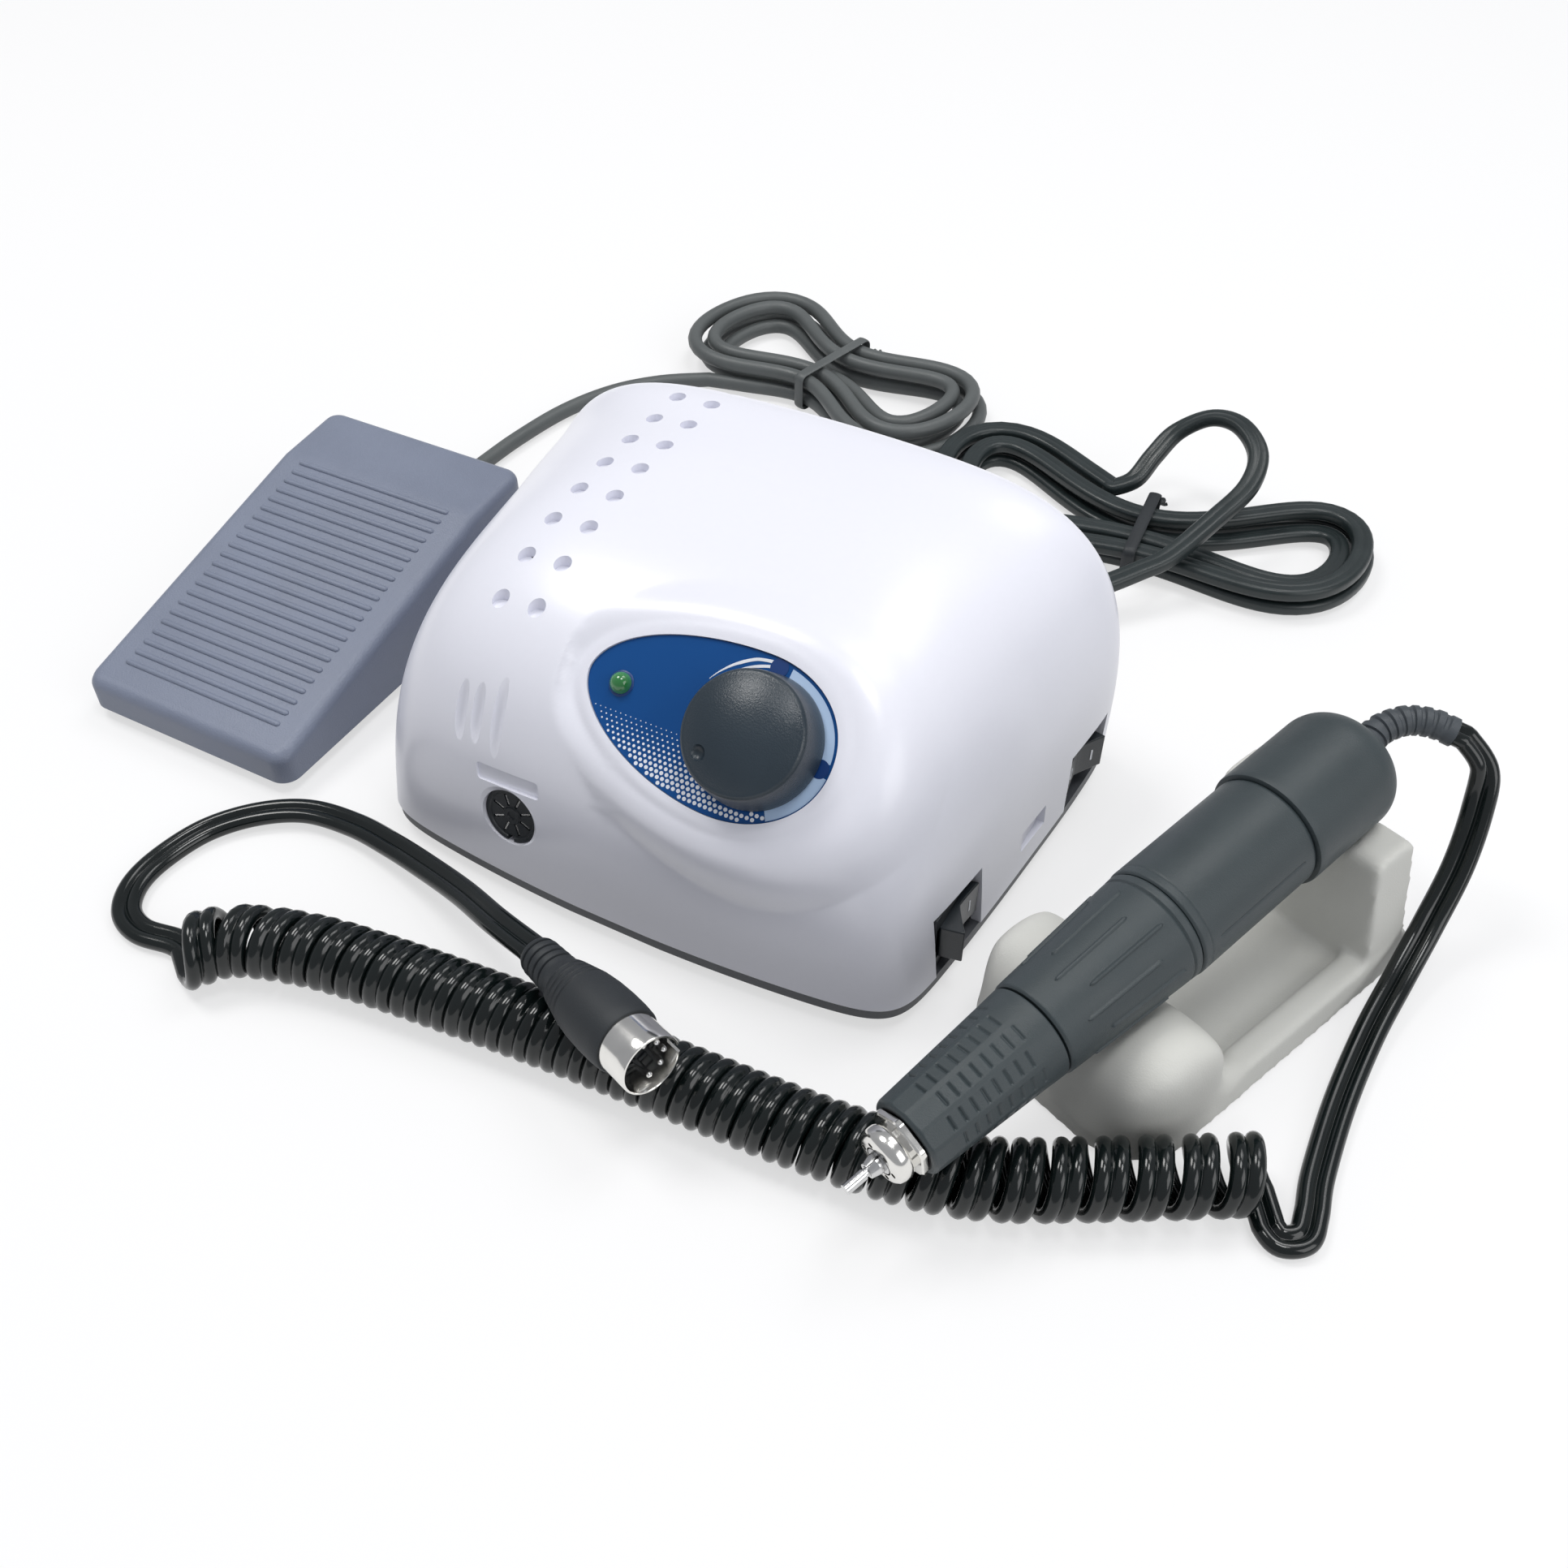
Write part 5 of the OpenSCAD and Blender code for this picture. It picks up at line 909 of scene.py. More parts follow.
def unit_shell():
    """The white cover: outer and inner faces, then what is cut out of them."""
    n = 480
    around = (np.arange(n) + 0.5) * 360 / n
    ups = np.concatenate([[2.0], np.linspace(4, 88.5, 150)])
    ug, ag = np.meshgrid(ups, around, indexing="ij")
    outer = fair(shell_surface(ug, ag).reshape(-1, 3))
    low = shell_surface(np.full(n, 0.001), around)
    low[:, 2] = SHELL_Z
    outer = np.vstack([low, outer])
    m = len(ups) + 1
    iu = np.array([8, 20, 32, 44, 56, 68, 80, 86])
    ig, jg = np.meshgrid(iu, around, indexing="ij")
    inner = shell_surface(ig, jg, SHELL_WALL).reshape(-1, 3)
    ilow = shell_surface(np.full(n, 0.001), around, SHELL_WALL)
    ilow[:, 2] = SHELL_Z
    inner = np.vstack([ilow, inner])
    mi = len(iu) + 1
    faces = grid_faces(m, n)
    off = len(outer)
    faces += [tuple(reversed([v + off for v in f])) for f in grid_faces(mi, n)]
    for j in range(n):
        k = (j + 1) % n
        faces.append((j, off + j, off + k, k))
    top = fair(shell_surface(np.array([90.0]), np.array([0.0])))
    itop = shell_surface(np.array([90.0]), np.array([0.0]), SHELL_WALL)
    verts = np.vstack([outer, inner, top, itop])
    a = len(outer) + len(inner)
    for j in range(n):
        k = (j + 1) % n
        faces.append(((m - 1) * n + j, (m - 1) * n + k, a))
        faces.append((off + (mi - 1) * n + k, off + (mi - 1) * n + j, a + 1))
    obj = make("unit_cover", verts, faces, WHITE, "set", "shell_white", 60)
    # what is cut out of it
    cutters = [prism(dial_outline(0.12), -1.6, 9, DIAL)]
    grid = shell_surface(ug, ag).reshape(-1, 3)
    for i in range(9):
        for k in range(2):
            vx = -41 + 10 * k
            vy = -39.5 + 11.2 * i
            near = grid[np.argmin((grid[:, 0] - vx) ** 2 + (grid[:, 1] - vy) ** 2)]
            fr = Place([vx, vy, near[2]], np.eye(3))
            cutters.append(prism(disc(2.15), -2.2, 6, fr))
    cutters.append(prism(disc(SOCKET_R, 96), -7.6, 8.4, SOCKET))
    cutters.append(cone(SOCKET_R - 0.1, SOCKET_R + 2.6, -1.0, 1.6, SOCKET))
    cutters.append(prism(rounded_rect(18, 4.5, 0.9), -1.1, 5, LABEL))
    for f in FLUTES:
        a, b = np.array(f[0]), np.array(f[1])
        run = np.linalg.norm(b - a)
        dip = 1.2 - run * run / 400
        r = run * run / 8 / dip + dip / 2
        d = (a - b) / run
        centre = (a + b) / 2 + np.array([0, -d[2], d[1]]) * (r - dip)
        cutters.append(ring_cut(centre, rot("y", 90), r - 1.7, 1.7, 192, 24))
    for y in (-34.5, 29):
        cutters.append(block([side_x(y) - 12, y - 10, SHELL_Z - 1], [side_x(y) + 8, y + 10, SHELL_Z + 18.5]))
    cutters.append(block([side_x(0.5) - 1.6, -5.5, 14], [side_x(0.5) + 6, 6.5, 20]))
    cutters.append(prism(disc(5.2), -10, 30, Place([45, 54, 18], rot("x", -90))))
    cutters.append(prism(disc(3.9), -10, 30, Place([-34, 54, 20], rot("x", -90))))
    cut(obj, cutters, 32)
    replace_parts(obj, "top_shell")


unit_shell()


def dial_pieces():
    """The blue plate and what is printed on it: pale bands, two dots, two arcs and a fade of dots."""
    film = make("dial_film_plate", *prism(dial_outline(0.0), -1.55, 0.0, DIAL), BLUE, "set", "dial_blue", 30)
    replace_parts(film, "dial_plate")
    cut(film, [prism(disc(3.7), -4, 4, DIAL), prism(disc(2.6), -4, 4, LAMP)])
    t = 0.06

    def edge_at(a):
        """Distance from the knob's middle to the plate's edge, in a direction."""
        d = np.array([math.cos(math.radians(a)), math.sin(math.radians(a))])
        nxt = np.roll(EDGE, -1, axis=0)
        for p, q in zip(EDGE, nxt):
            e = q - p
            k = d[0] * e[1] - d[1] * e[0]
            if abs(k) < 1e-9:
                continue
            r = (p[0] * e[1] - p[1] * e[0]) / k
            f = (p[0] * d[1] - p[1] * d[0]) / k
            if r > 0 and -1e-6 <= f <= 1 + 1e-6:
                return r
        return 20.0

    def strip(a0, a1, far, close, n=64, z=0.0):
        """A printed band between two radii given for each direction round the knob."""
        out = []
        inn = []
        for i in range(n + 1):
            a = a0 + (a1 - a0) * i / n
            d = [math.cos(math.radians(a)), math.sin(math.radians(a))]
            e = edge_at(a)
            rf = far(a, e)
            rc = min(close(a, e), rf - 0.02)
            out.append([rf * d[0], rf * d[1]])
            inn.append([rc * d[0], rc * d[1]])
        return prism(out + inn[::-1], z, z + t, DIAL)

    # pale band between the two dots, split by a thin line, and the wide pale field below
    bands = [strip(85, 2.5, lambda a, e: e - 0.75, lambda a, e: e - 2.9),
             strip(85, 2.5, lambda a, e: e - 3.2, lambda a, e: 14.4),
             strip(-8, -62, lambda a, e: e - 0.3, lambda a, e: 14.4)]
    make("dial_pale_band", *join(bands), PALE, "set", "dial_blue", 30)
    marks = []
    for cx, cy in ((-1.6, 16.4), (15.1, -0.8)):
        ring = []
        for q in range(0, 360, 6):
            d = [math.cos(math.radians(q)), math.sin(math.radians(q))]
            r = 2.1
            while dial_distance(np.array([cx + r * d[0]]), np.array([cy + r * d[1]]))[0][0] > -0.12:
                r -= 0.05
            ring.append([cx + r * d[0], cy + r * d[1]])
        marks.append(prism(ring, t, t + 0.05, DIAL))
    make("dial_deep_marks", *join(marks), DEEP, "set", "dial_blue", 30)
    white = [strip(101, 150, lambda a, e: 17.85 + 0.5 * min(1, (a - 101) / 12),
                   lambda a, e: 17.15 + 0.5 * min(1, (a - 101) / 12) + 0.6 * max(0, (a - 125) / 25)),
             strip(101, 132, lambda a, e: 16.75, lambda a, e: 16.1 + 0.55 * max(0, (a - 112) / 20))]
    # halftone dots in a hexagon grid, larger towards the lower edge
    pitch = 1.3
    for i in range(-40, 12):
        for j in range(-18, 1):
            x = i * pitch + (pitch / 2 if j % 2 else 0)
            y = j * pitch * 0.866 - 4.6
            d, a = dial_distance(np.array([x]), np.array([y]))
            if float(d[0]) > -0.7 or math.hypot(x, y) < 15.2 or x > 7.2:
                continue
            depth = min(1.0, (-4.2 - y) / 9.0)
            r = 0.11 + 0.37 * depth
            white.append(prism([[p[0] + x, p[1] + y] for p in disc(r, 8)], 0.0, t, DIAL))
    make("dial_white_print", *join(white), INK, "set", "dial_blue", 30)


dial_pieces()


def knob_piece():
    """Domed knob with a bore for its shaft and a dimple as its pointer."""
    prof = [[4.2, 0.45], [14.6, 0.45], [15.0, 0.8], [15.0, 1.6]]
    prof += [[15.0 - 0.95 * i / 8, 1.6 + 7.9 * i / 8] for i in range(1, 8)]
    prof += arc(12.42, 9.21, 1.6, 4, 60, 10)
    top = 13.6
    dome = (13.0 ** 2 + 2.95 ** 2) / 2 / 2.95
    for i in range(28):
        r = 13.0 * (1 - i / 28)
        prof.append([r, top - dome + math.sqrt(dome * dome - r * r)])
    prof += [[0.01, top], [0.01, 7.7], [2.98, 7.7], [2.98, 3.0], [4.2, 3.0]]
    knob = lathe("speed_knob_cap", prof, KNOB, DIAL, 144, "knob", "knob_slate", 32, closed=True)
    # pointer dimple
    fr = Place(DIAL([[-7.1, -7.2, 0]])[0], DIAL.turn)
    cut(knob, [ball_cut(fr, 2.0, 12.7)], 32)
    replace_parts(knob, "speed_knob")


def ball_cut(fr, r, z, n=32, m=16):
    """A ball of radius r, with its middle at height z of a frame."""
    pts = [[0, 0, z - r]]
    for i in range(1, m):
        a = math.pi * i / m
        for j in range(n):
            b = 2 * math.pi * j / n
            pts.append([r * math.sin(a) * math.cos(b), r * math.sin(a) * math.sin(b), z - r * math.cos(a)])
    pts.append([0, 0, z + r])
    faces = [(0, 1 + (j + 1) % n, 1 + j) for j in range(n)]
    for i in range(m - 2):
        for j in range(n):
            k = (j + 1) % n
            faces.append((1 + i * n + j, 1 + i * n + k, 1 + (i + 1) * n + k, 1 + (i + 1) * n + j))
    last = 1 + (m - 2) * n
    e = len(pts) - 1
    faces += [(e, last + j, last + (j + 1) % n) for j in range(n)]
    return fr(pts), faces


knob_piece()


def lamp_piece():
    """Green lens in a thin collar."""
    prof = [[0.01, -1.8], [2.5, -1.8], [2.5, 0.3]] + arc(0, 0.3, 2.5, 0, 84, 14) + [[0.01, 2.8]]
    obj = lathe("power_lens", prof, LENS, LAMP, 64, "set", "lamp_green", 40)
    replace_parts(obj, "power_lamp")
    prof = [[2.5, 0.0], [2.95, 0.0], [3.0, 0.12], [2.85, 0.25], [2.5, 0.28]]
    lathe("lamp_collar", prof, DEEP, LAMP, 64, "set", "dial_blue", 40, closed=True)


lamp_piece()


def socket_piece():
    """Insert of the motor socket, with eight slots, a key and their contacts."""
    face = -2.0
    r = 7.3
    prof = [[0.01, face - 9], [r, face - 9], [r, face - 0.2], [r - 0.2, face], [r - 1.0, face],
            [r - 1.25, face - 0.35], [2.3, face - 0.35], [2.0, face + 0.05], [1.1, face + 0.05],
            [0.9, face - 0.3], [0.01, face - 0.3]]
    obj = lathe("socket_insert", prof, BLACK, SOCKET, 96, "set", "black_plastic", 30)
    cuts = []
    clips = []
    for i in range(8):
        fr = Place(SOCKET.at, SOCKET.turn @ rot("z", 22.5 + i * 45))
        cuts.append(block([2.5, -0.36, face - 3], [5.6, 0.36, face + 1], fr))
        clips.append(block([2.7, -0.2, face - 2.5], [5.3, 0.2, face - 0.55], fr))
    cuts.append(block([-0.9, -7.5, face - 2.2], [0.9, -5.8, face + 1], SOCKET))
    cut(obj, cuts)
    make("socket_contacts", *join(clips), STEEL, "set", "plug_pin_metal", 30)
    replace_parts(obj, "motor_socket")


def switch_pieces(y, tilt, node, frame_node):
    """A switch frame in the unit's right side, and its rocker with two raised marks."""
    at = Place([side_x(y) - 3, y, SHELL_Z + 9.25], np.eye(3))
    # frame: a plate with a soft edge and a well for the rocker
    plate_fr = Place(at([[-2, 0, -0.1]])[0], np.array([[0, 0, 1], [1, 0, 0], [0, 1, 0]], dtype=float))
    parts = [prism(rounded_rect(19.4, 18.1, 0.8), 0.0, 2.0, plate_fr),
             block([-15, -9.7, -7], [-1.9, 9.7, 7], at)]
    frame_obj = make(frame_node + "_frame", *join(parts), BLACK, "set", "black_plastic", 30)
    cut(frame_obj, [block([-9, -9.0, -5.2], [4, 9.0, 5.2], at)])
    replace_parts(frame_obj, frame_node)
    # rocker: two faces meeting at a shallow valley
    rk = Place(at([[-3, 0, 0]])[0], rot("z", tilt))
    prof = [[4.4 + 2.8 * abs(t) ** 1.15, 8.0 * t] for t in (-1 + i / 12 for i in range(25))]
    prof += [[6.8, 8.1], [1.5, 8.0], [-3.2, 3], [-3.2, -3], [1.5, -8.0], [6.8, -8.1]]
    rocker = make(node + "_cap", *prism(prof, -4.95, 4.95, rk), ROCKER, node, "rocker_black", 25)
    bev = rocker.modifiers.new("soft", "BEVEL")
    bev.width = 0.0003
    bev.segments = 3
    bev.limit_method = "ANGLE"
    bev.angle_limit = math.radians(40)
    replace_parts(rocker, node)
    # raised marks: a ring on one half, a bar on the other
    for half, kind in ((-4.6, "ring"), (4.6, "bar")):
        slope = math.degrees(math.atan2(2.8, 8.0)) * (1 if half > 0 else -1)
        base = rk([[4.4 + 2.8 * (abs(half) / 8.0) ** 1.15, half, 0]])[0]
        # local: x across the width (world Z), y along the rocker, z outward
        turn = rk.turn @ rot("z", -slope) @ np.array([[0, 0, 1], [0, 1, 0], [-1, 0, 0]], dtype=float)
        fr = Place(base, turn)
        if kind == "ring":
            rows = ((1.75, 1.25, -0.1), (1.75, 1.25, 0.09), (1.3, 0.8, 0.09), (1.3, 0.8, -0.1))
            pts = [[x * a, y * b, z] for a, b, z in rows for x, y in disc(1.0, 40)]
            make(node + "_ring_mark", fr(pts), loop_faces(4, 40), INK, node, "rocker_black", 30)
        else:
            bar = prism(rounded_rect(3.4, 0.6, 0.2, 3), -0.1, 0.09, fr)
            make(node + "_bar_mark", *bar, INK, node, "rocker_black", 30)


socket_piece()
switch_pieces(29, -12, "power_rocker", "power_switch")
switch_pieces(-34.5, 12, "direction_rocker", "direction_switch")


def unit_tray():
    """Dark tray with a soft lower edge, under the cover."""
    around = (np.arange(240) + 0.5) * 360 / 240
    rows = [(3.0, 4.0), (3.0, 1.2), (3.2, 0.65), (3.7, 0.35), (6.98, 0.35)]
    rings = []
    for z, w in rows:
        ring = shell_surface(np.full(240, 0.001), around, w)
        ring[:, 2] = z
        rings.append(ring)
    obj = make("unit_tray", np.vstack(rings), tube_faces(len(rows), 240), TRAY, "set", "tray_grey", 30)
    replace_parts(obj, "base_tray")
    prof = [[0.01, 0.0], [6.3, 0.0], [6.8, 0.3], [7.0, 1.0], [7.0, 3.0], [0.01, 3.0]]
    feet = [turned(prof, 48, Place([x, y, 0], np.eye(3)))
            for x, y in ((-60, -47), (60, -47), (-64, 40), (64, 40))]
    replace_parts(make("unit_rubber_feet", *join(feet), RUBBER, "set", "rubber_black", 30), "unit_feet")


unit_tray()


# ---------------------------------------------------------------- handpiece
def turned_grid(name, rows, radius, body, n, inner):
    """A coated sleeve about the handpiece's axis, whose radius depends on place and angle."""
    q = np.arange(n) * 2 * math.pi / n
    s = np.asarray(rows)
    sg, qg = np.meshgrid(s, q, indexing="ij")
    r = radius(sg, qg)
    outer = np.stack([r * np.cos(qg), r * np.sin(qg), sg], -1).reshape(-1, 3)
    bore = [np.stack([inner * np.cos(q), inner * np.sin(q), np.full(n, z)], -1) for z in (s[-1], s[0])]
    return make(name, HAND(np.vstack([outer] + bore)), loop_faces(len(s) + 2, n), GRIP, body, "hand_grey", 28)


def grip_radius(s, q):
    """Facets that fade out towards the sleeve, with short grooves across each facet."""
    base = 8.9 + (10.9 - 8.9) * s / 35
    n = 12
    f = (q * n / (2 * math.pi)) % 1.0 - 0.5
    flat = np.cos(math.pi / n) / np.cos(f * 2 * math.pi / n)
    depth = 1 - np.clip((s - 24) / 8, 0, 1)
    r = base * (1 - (1 - flat * 1.012) * depth * np.clip(s / 1.2, 0, 1))
    r = np.minimum(r, base)
    k = np.floor(q * n / (2 * math.pi)).astype(int)
    shift = np.where(k % 2 == 0, 0.0, 1.45)
    ph = ((s - 5.2 - shift) / 2.9) % 1.0
    inside = (s > 5.0 + shift) & (s < 28.2 + shift)
    across = np.clip((0.36 - np.abs(f)) / 0.05, 0, 1)
    groove = np.exp(-((ph - 0.5) / 0.1) ** 2)
    r = r - (0.5 - 0.008 * s) * groove * inside * across
    edge = np.clip((0.8 - s) / 0.8, 0, 1)
    return r - 0.7 * edge ** 2 - 0.5 * np.clip((s - 34.3) / 0.5, 0, 1) ** 2


def sleeve_radius(s, q):
    """Tapered sleeve with raised lengthwise ridges in two staggered rows."""
    t = (s - 35) / 37
    base = 11.2 + 2.2 * t
    n = 14
    k = np.floor(q * n / (2 * math.pi)).astype(int)
    f = (q * n / (2 * math.pi)) % 1.0 - 0.5
    lo = np.where(k % 2 == 0, 41.5, 46.0)
    hi = np.where(k % 2 == 0, 62.0, 66.5)
    arc_mm = f * 2 * math.pi * base / n
    end = np.clip(np.minimum(s - lo, hi - s) / 1.0, 0, 1)
    width = 0.42 * np.sqrt(end)
    g = np.exp(-(arc_mm / np.maximum(width, 0.05)) ** 4) * (end > 0)
    r = base + 0.42 * g
    ring = np.exp(-((s - 69.4) / 0.28) ** 2) * 0.35
    e = np.clip((35.9 - s) / 0.75, 0, 1) ** 2 * 0.45 + np.clip((s - 71.2) / 0.6, 0, 1) ** 2 * 0.4
    return r - ring - e


def case_radius(s, q):
    """Plain case with a fine ring near its front and a lengthwise seam low on one side."""
    base = np.full_like(s, 13.6)
    e = np.clip((72.7 - s) / 0.7, 0, 1) ** 2 * 0.5 + np.clip((s - 107.0) / 0.7, 0, 1) ** 2 * 0.3
    line = np.exp(-((s - 74.4) / 0.2) ** 2) * 0.12
    a = np.degrees(q) % 360
    seam = np.exp(-((a - 342.0) / 0.9) ** 2) * 0.28 * ((s > 77) & (s < 104))
    return base - e - line - seam


def handpiece_pieces():
    rows = np.concatenate([np.linspace(0, 1.2, 6), np.linspace(1.5, 34.0, 190), np.linspace(34.2, 34.8, 5)])
    grip = turned_grid("grip_cone", rows, grip_radius, "handpiece", 360, 7.42)
    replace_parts(grip, "nose_grip")
    rows = np.concatenate([np.linspace(35.15, 36, 6), np.linspace(36.3, 71, 150),
                           np.linspace(71.2, 71.85, 5)])
    sleeve = turned_grid("chuck_sleeve", rows, sleeve_radius, "lock_sleeve", 420, 9.1)
    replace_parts(sleeve, "lock_sleeve")
    rows = np.concatenate([np.linspace(72.0, 72.8, 6), np.linspace(73, 106.8, 120),
                           np.linspace(107, 107.8, 5)])
    case = turned_grid("motor_barrel", rows, case_radius, "handpiece", 360, 11.8)
    lathe("barrel_neck", [[11.8, 107.8], [12.7, 107.8], [12.7, 114], [11.8, 114]], GRIP, HAND, 96,
          "handpiece",
          "hand_grey", 30, closed=True)
    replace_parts(case, "motor_case")
    prof = [[12.72, 108.0], [14.1, 108.0], [14.45, 108.15],
            [14.6, 108.6]] + [[14.6, 110 + i * 2] for i in range(11)]
    prof += arc(5.6, 131.0, 9.0, 0, 88, 24)
    prof += [[4.3, 140.0], [4.3, 137.8]]
    prof += arc(5.6, 130.6, 6.8, 88, 0, 8)
    prof += [[12.4, 115.0], [12.72, 114.5]]
    cap = lathe("rear_cover", prof, GRIP, HAND, 160, "handpiece", "hand_grey", 30, closed=True)
    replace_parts(cap, "rear_cap")


def nose_pieces():
    """Hexagon flange, groove, bulged barrel and drilled front disc of the nose nut."""
    hexa = []
    for i in range(120):
        q = math.radians(3 * i + 1.5)
        f = (q + math.pi / 6) % (math.pi / 3) - math.pi / 6
        r = min(7.9 * math.cos(math.pi / 6) / math.cos(f), 7.55)
        hexa.append([r * math.cos(q), r * math.sin(q)])
    inner = [[p[0] * 0.95, p[1] * 0.95] for p in hexa]
    rings = [HAND([[p[0], p[1], z] for p in ring])
             for ring, z in ((inner, -1.8), (hexa, -1.45), (hexa, -0.45), (inner, -0.1))]
    make("nose_hexagon", np.vstack(rings), tube_faces(4, 120), CHROME, "handpiece", "hand_grey", 40)
    prof = [[3.35, -7.0], [4.9, -7.0], [5.3, -6.85], [5.9, -6.3], [6.25, -5.4], [6.3, -4.6], [6.2, -3.6],
            [5.9, -3.05], [5.45, -2.85], [5.3, -2.6], [5.3, -1.7], [3.35, -1.7]]
    barrel = lathe("nose_barrel", prof, CHROME, HAND, 120, "handpiece", "hand_grey", 35, closed=True)
    holes = []
    for i in range(6):
        fr = Place(HAND([[4.15 * math.cos(math.radians(60 * i)), 4.15 * math.sin(math.radians(60 * i)),
                          0]])[0],
                   HAND.turn)
        holes.append(prism(disc(0.62, 24), -7.6, -6.1, fr))
        fr = Place(HAND_AT, HAND.turn @ rot("z", 60 * i + 30))
        holes.append(block([4.9, -0.9, -2.75], [6.0, 0.9, -1.75], fr))
    cut(barrel, holes, 35)
    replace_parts(barrel, "nose_nut")


def boot_piece():
    """Ribbed rubber boot that turns from round to the cord's flat section."""
    path = spline(BOOT_PATH, 18)
    run = np.concatenate([[0], np.cumsum(np.linalg.norm(np.diff(np.array(path), axis=0), axis=1))])
    side = sides_of(path)
    rings = []
    n = 40
    for i, c in enumerate(path):
        h = heading(path, i)
        a = side[i]
        b = np.cross(h, a)
        k = run[i] / run[-1]
        d = 2 * (3.9 + (3.3 - 3.9) * k)
        ph = (run[i] / 2.6) % 1.0
        if 3 < run[i] < run[-1] - 1.5 and ph > 0.62:
            d *= 0.84
        w = d + (max(d, 7.2) - d) * k
        if i == 0 or i == len(path) - 1:
            d *= 0.9
            w *= 0.94
        q = 2 * math.pi * np.arange(n) / n
        rings.append(c + np.cos(q)[:, None] * a * w / 2 + np.sin(q)[:, None] * b * d / 2)
    obj = make("cord_strain_relief", np.vstack(rings), tube_faces(len(path), n), BOOT, "handpiece",
               "rubber_black", 30)
    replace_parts(obj, "cord_boot")


handpiece_pieces()
nose_pieces()
boot_piece()


# ---------------------------------------------------------------- cradle
def cradle_piece():
    src = None
    for o in bpy.data.objects:
        if o.type == "MESH" and (o.name == "cradle" or o.name.startswith("cradle.")):
            src = o
    mesh = src.data.copy()
    mesh.materials.clear()
    obj = place(bpy.data.objects.new("cradle_stand", mesh))
    rm = obj.modifiers.new("even", "REMESH")
    rm.mode = "VOXEL"
    rm.voxel_size = 0.0009
    sm = obj.modifiers.new("smooth", "SMOOTH")
    sm.factor = 0.5
    sm.iterations = 9
    deps = bpy.context.evaluated_depsgraph_get()
    new = bpy.data.meshes.new_from_object(obj.evaluated_get(deps))
    obj.modifiers.clear()
    obj.data = new
    # the front rest is moulded fuller and rounder than the rest of the stand
    fr = CRADLE.turn.T
    n = len(new.vertices)
    co = np.empty(n * 3)
    new.vertices.foreach_get("co", co)
    co = co.reshape(-1, 3)
    loc = (co * 1000 - SET - CRADLE.at) @ fr.T
    ends = np.empty(len(new.edges) * 2, dtype=int)
    new.edges.foreach_get("vertices", ends)
    ends = ends.reshape(-1, 2)
    front = np.clip((loc[:, 1].min() + 38 - loc[:, 1]) / 6, 0, 1)
    share = (np.clip((loc[:, 2] - 5) / 6, 0, 1) * front)[:, None] * 0.6
    for step in range(110):
        total = np.zeros_like(co)
        count = np.zeros((n, 1))
        for a, b in ((0, 1), (1, 0)):
            np.add.at(total, ends[:, a], co[ends[:, b]])
            np.add.at(count, ends[:, a], 1)
        co = co + (total / np.maximum(count, 1) - co) * share
    new.vertices.foreach_set("co", co.ravel())
    # the underside stays flat on the table
    for v in new.vertices:
        if v.co.z < 0.0006:
            v.co.z = max(v.co.z, 0.0)
    new.materials.append(STONE)
    new.shade_smooth()
    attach(obj, "set")
    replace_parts(obj, "cradle")
    return obj


cradle_piece()


# ---------------------------------------------------------------- pedal
PEDAL_W = 70.0
PEDAL_L = 111.5


def pedal_top(y):
    knee = 88.0
    if y < knee:
        return 13 + (34.2 - 13) * (y - 3) / (knee - 3)
    return 34.2 + (36 - 34.2) * (y - knee) / (PEDAL_L - 3 - knee)


def pedal_ring(inset, n=12):
    """Plan outline of the pedal, moved in by inset."""
    r = max(5.0 - inset, 0.3)
    hx = PEDAL_W / 2 - inset
    y0 = inset
    y1 = PEDAL_L - inset
    side = [100, 95, 92, 90, 88, 86, 84, 81, 70, 50, 30, 14]
    pts = arc(hx - r, y1 - r, r, 0, 90, n) + arc(-hx + r, y1 - r, r, 90, 180, n)
    pts += [[-hx, y] for y in side]
    pts += arc(-hx + r, y0 + r, r, 180, 270, n) + arc(hx - r, y0 + r, r, 270, 360, n)
    pts += [[hx, y] for y in reversed(side)]
    return pts


def pedal_cap(first, n=12, m=12):
    """Strips across a pedal outline's ring, from its left side to its right."""
    k = n + 1
    left = list(range(k, 3 * k + m))
    right = list(range(k - 1, -1, -1)) + list(range(4 * k + 2 * m - 1, 4 * k + m - 1, -1))
    right += list(range(4 * k + m - 1, 3 * k + m - 1, -1))
    return [(first + left[i], first + left[i + 1], first + right[i + 1], first + right[i])
            for i in range(len(left) - 1)]


def pedal_coil_spring():
    """Return spring under the treadle."""
    wire = 1.2
    low = 4.8
    high = 25.2
    line = []
    for i in range(6 * 32 + 1):
        q = math.radians(11.25 * i)
        f = i / 192
        line.append([5 * math.cos(q), PEDAL_L - 19.5 + 5 * math.sin(q), low + (high - low) * f])
    spring = swept("pedal_coil_spring", list(PEDAL(line)), round_section(wire, 12), STEEL, "turned_steel")
    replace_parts(spring, "pedal_spring")
    base = PEDAL([[0, PEDAL_L - 19.5, low - wire / 2]])[0]
    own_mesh(spring)


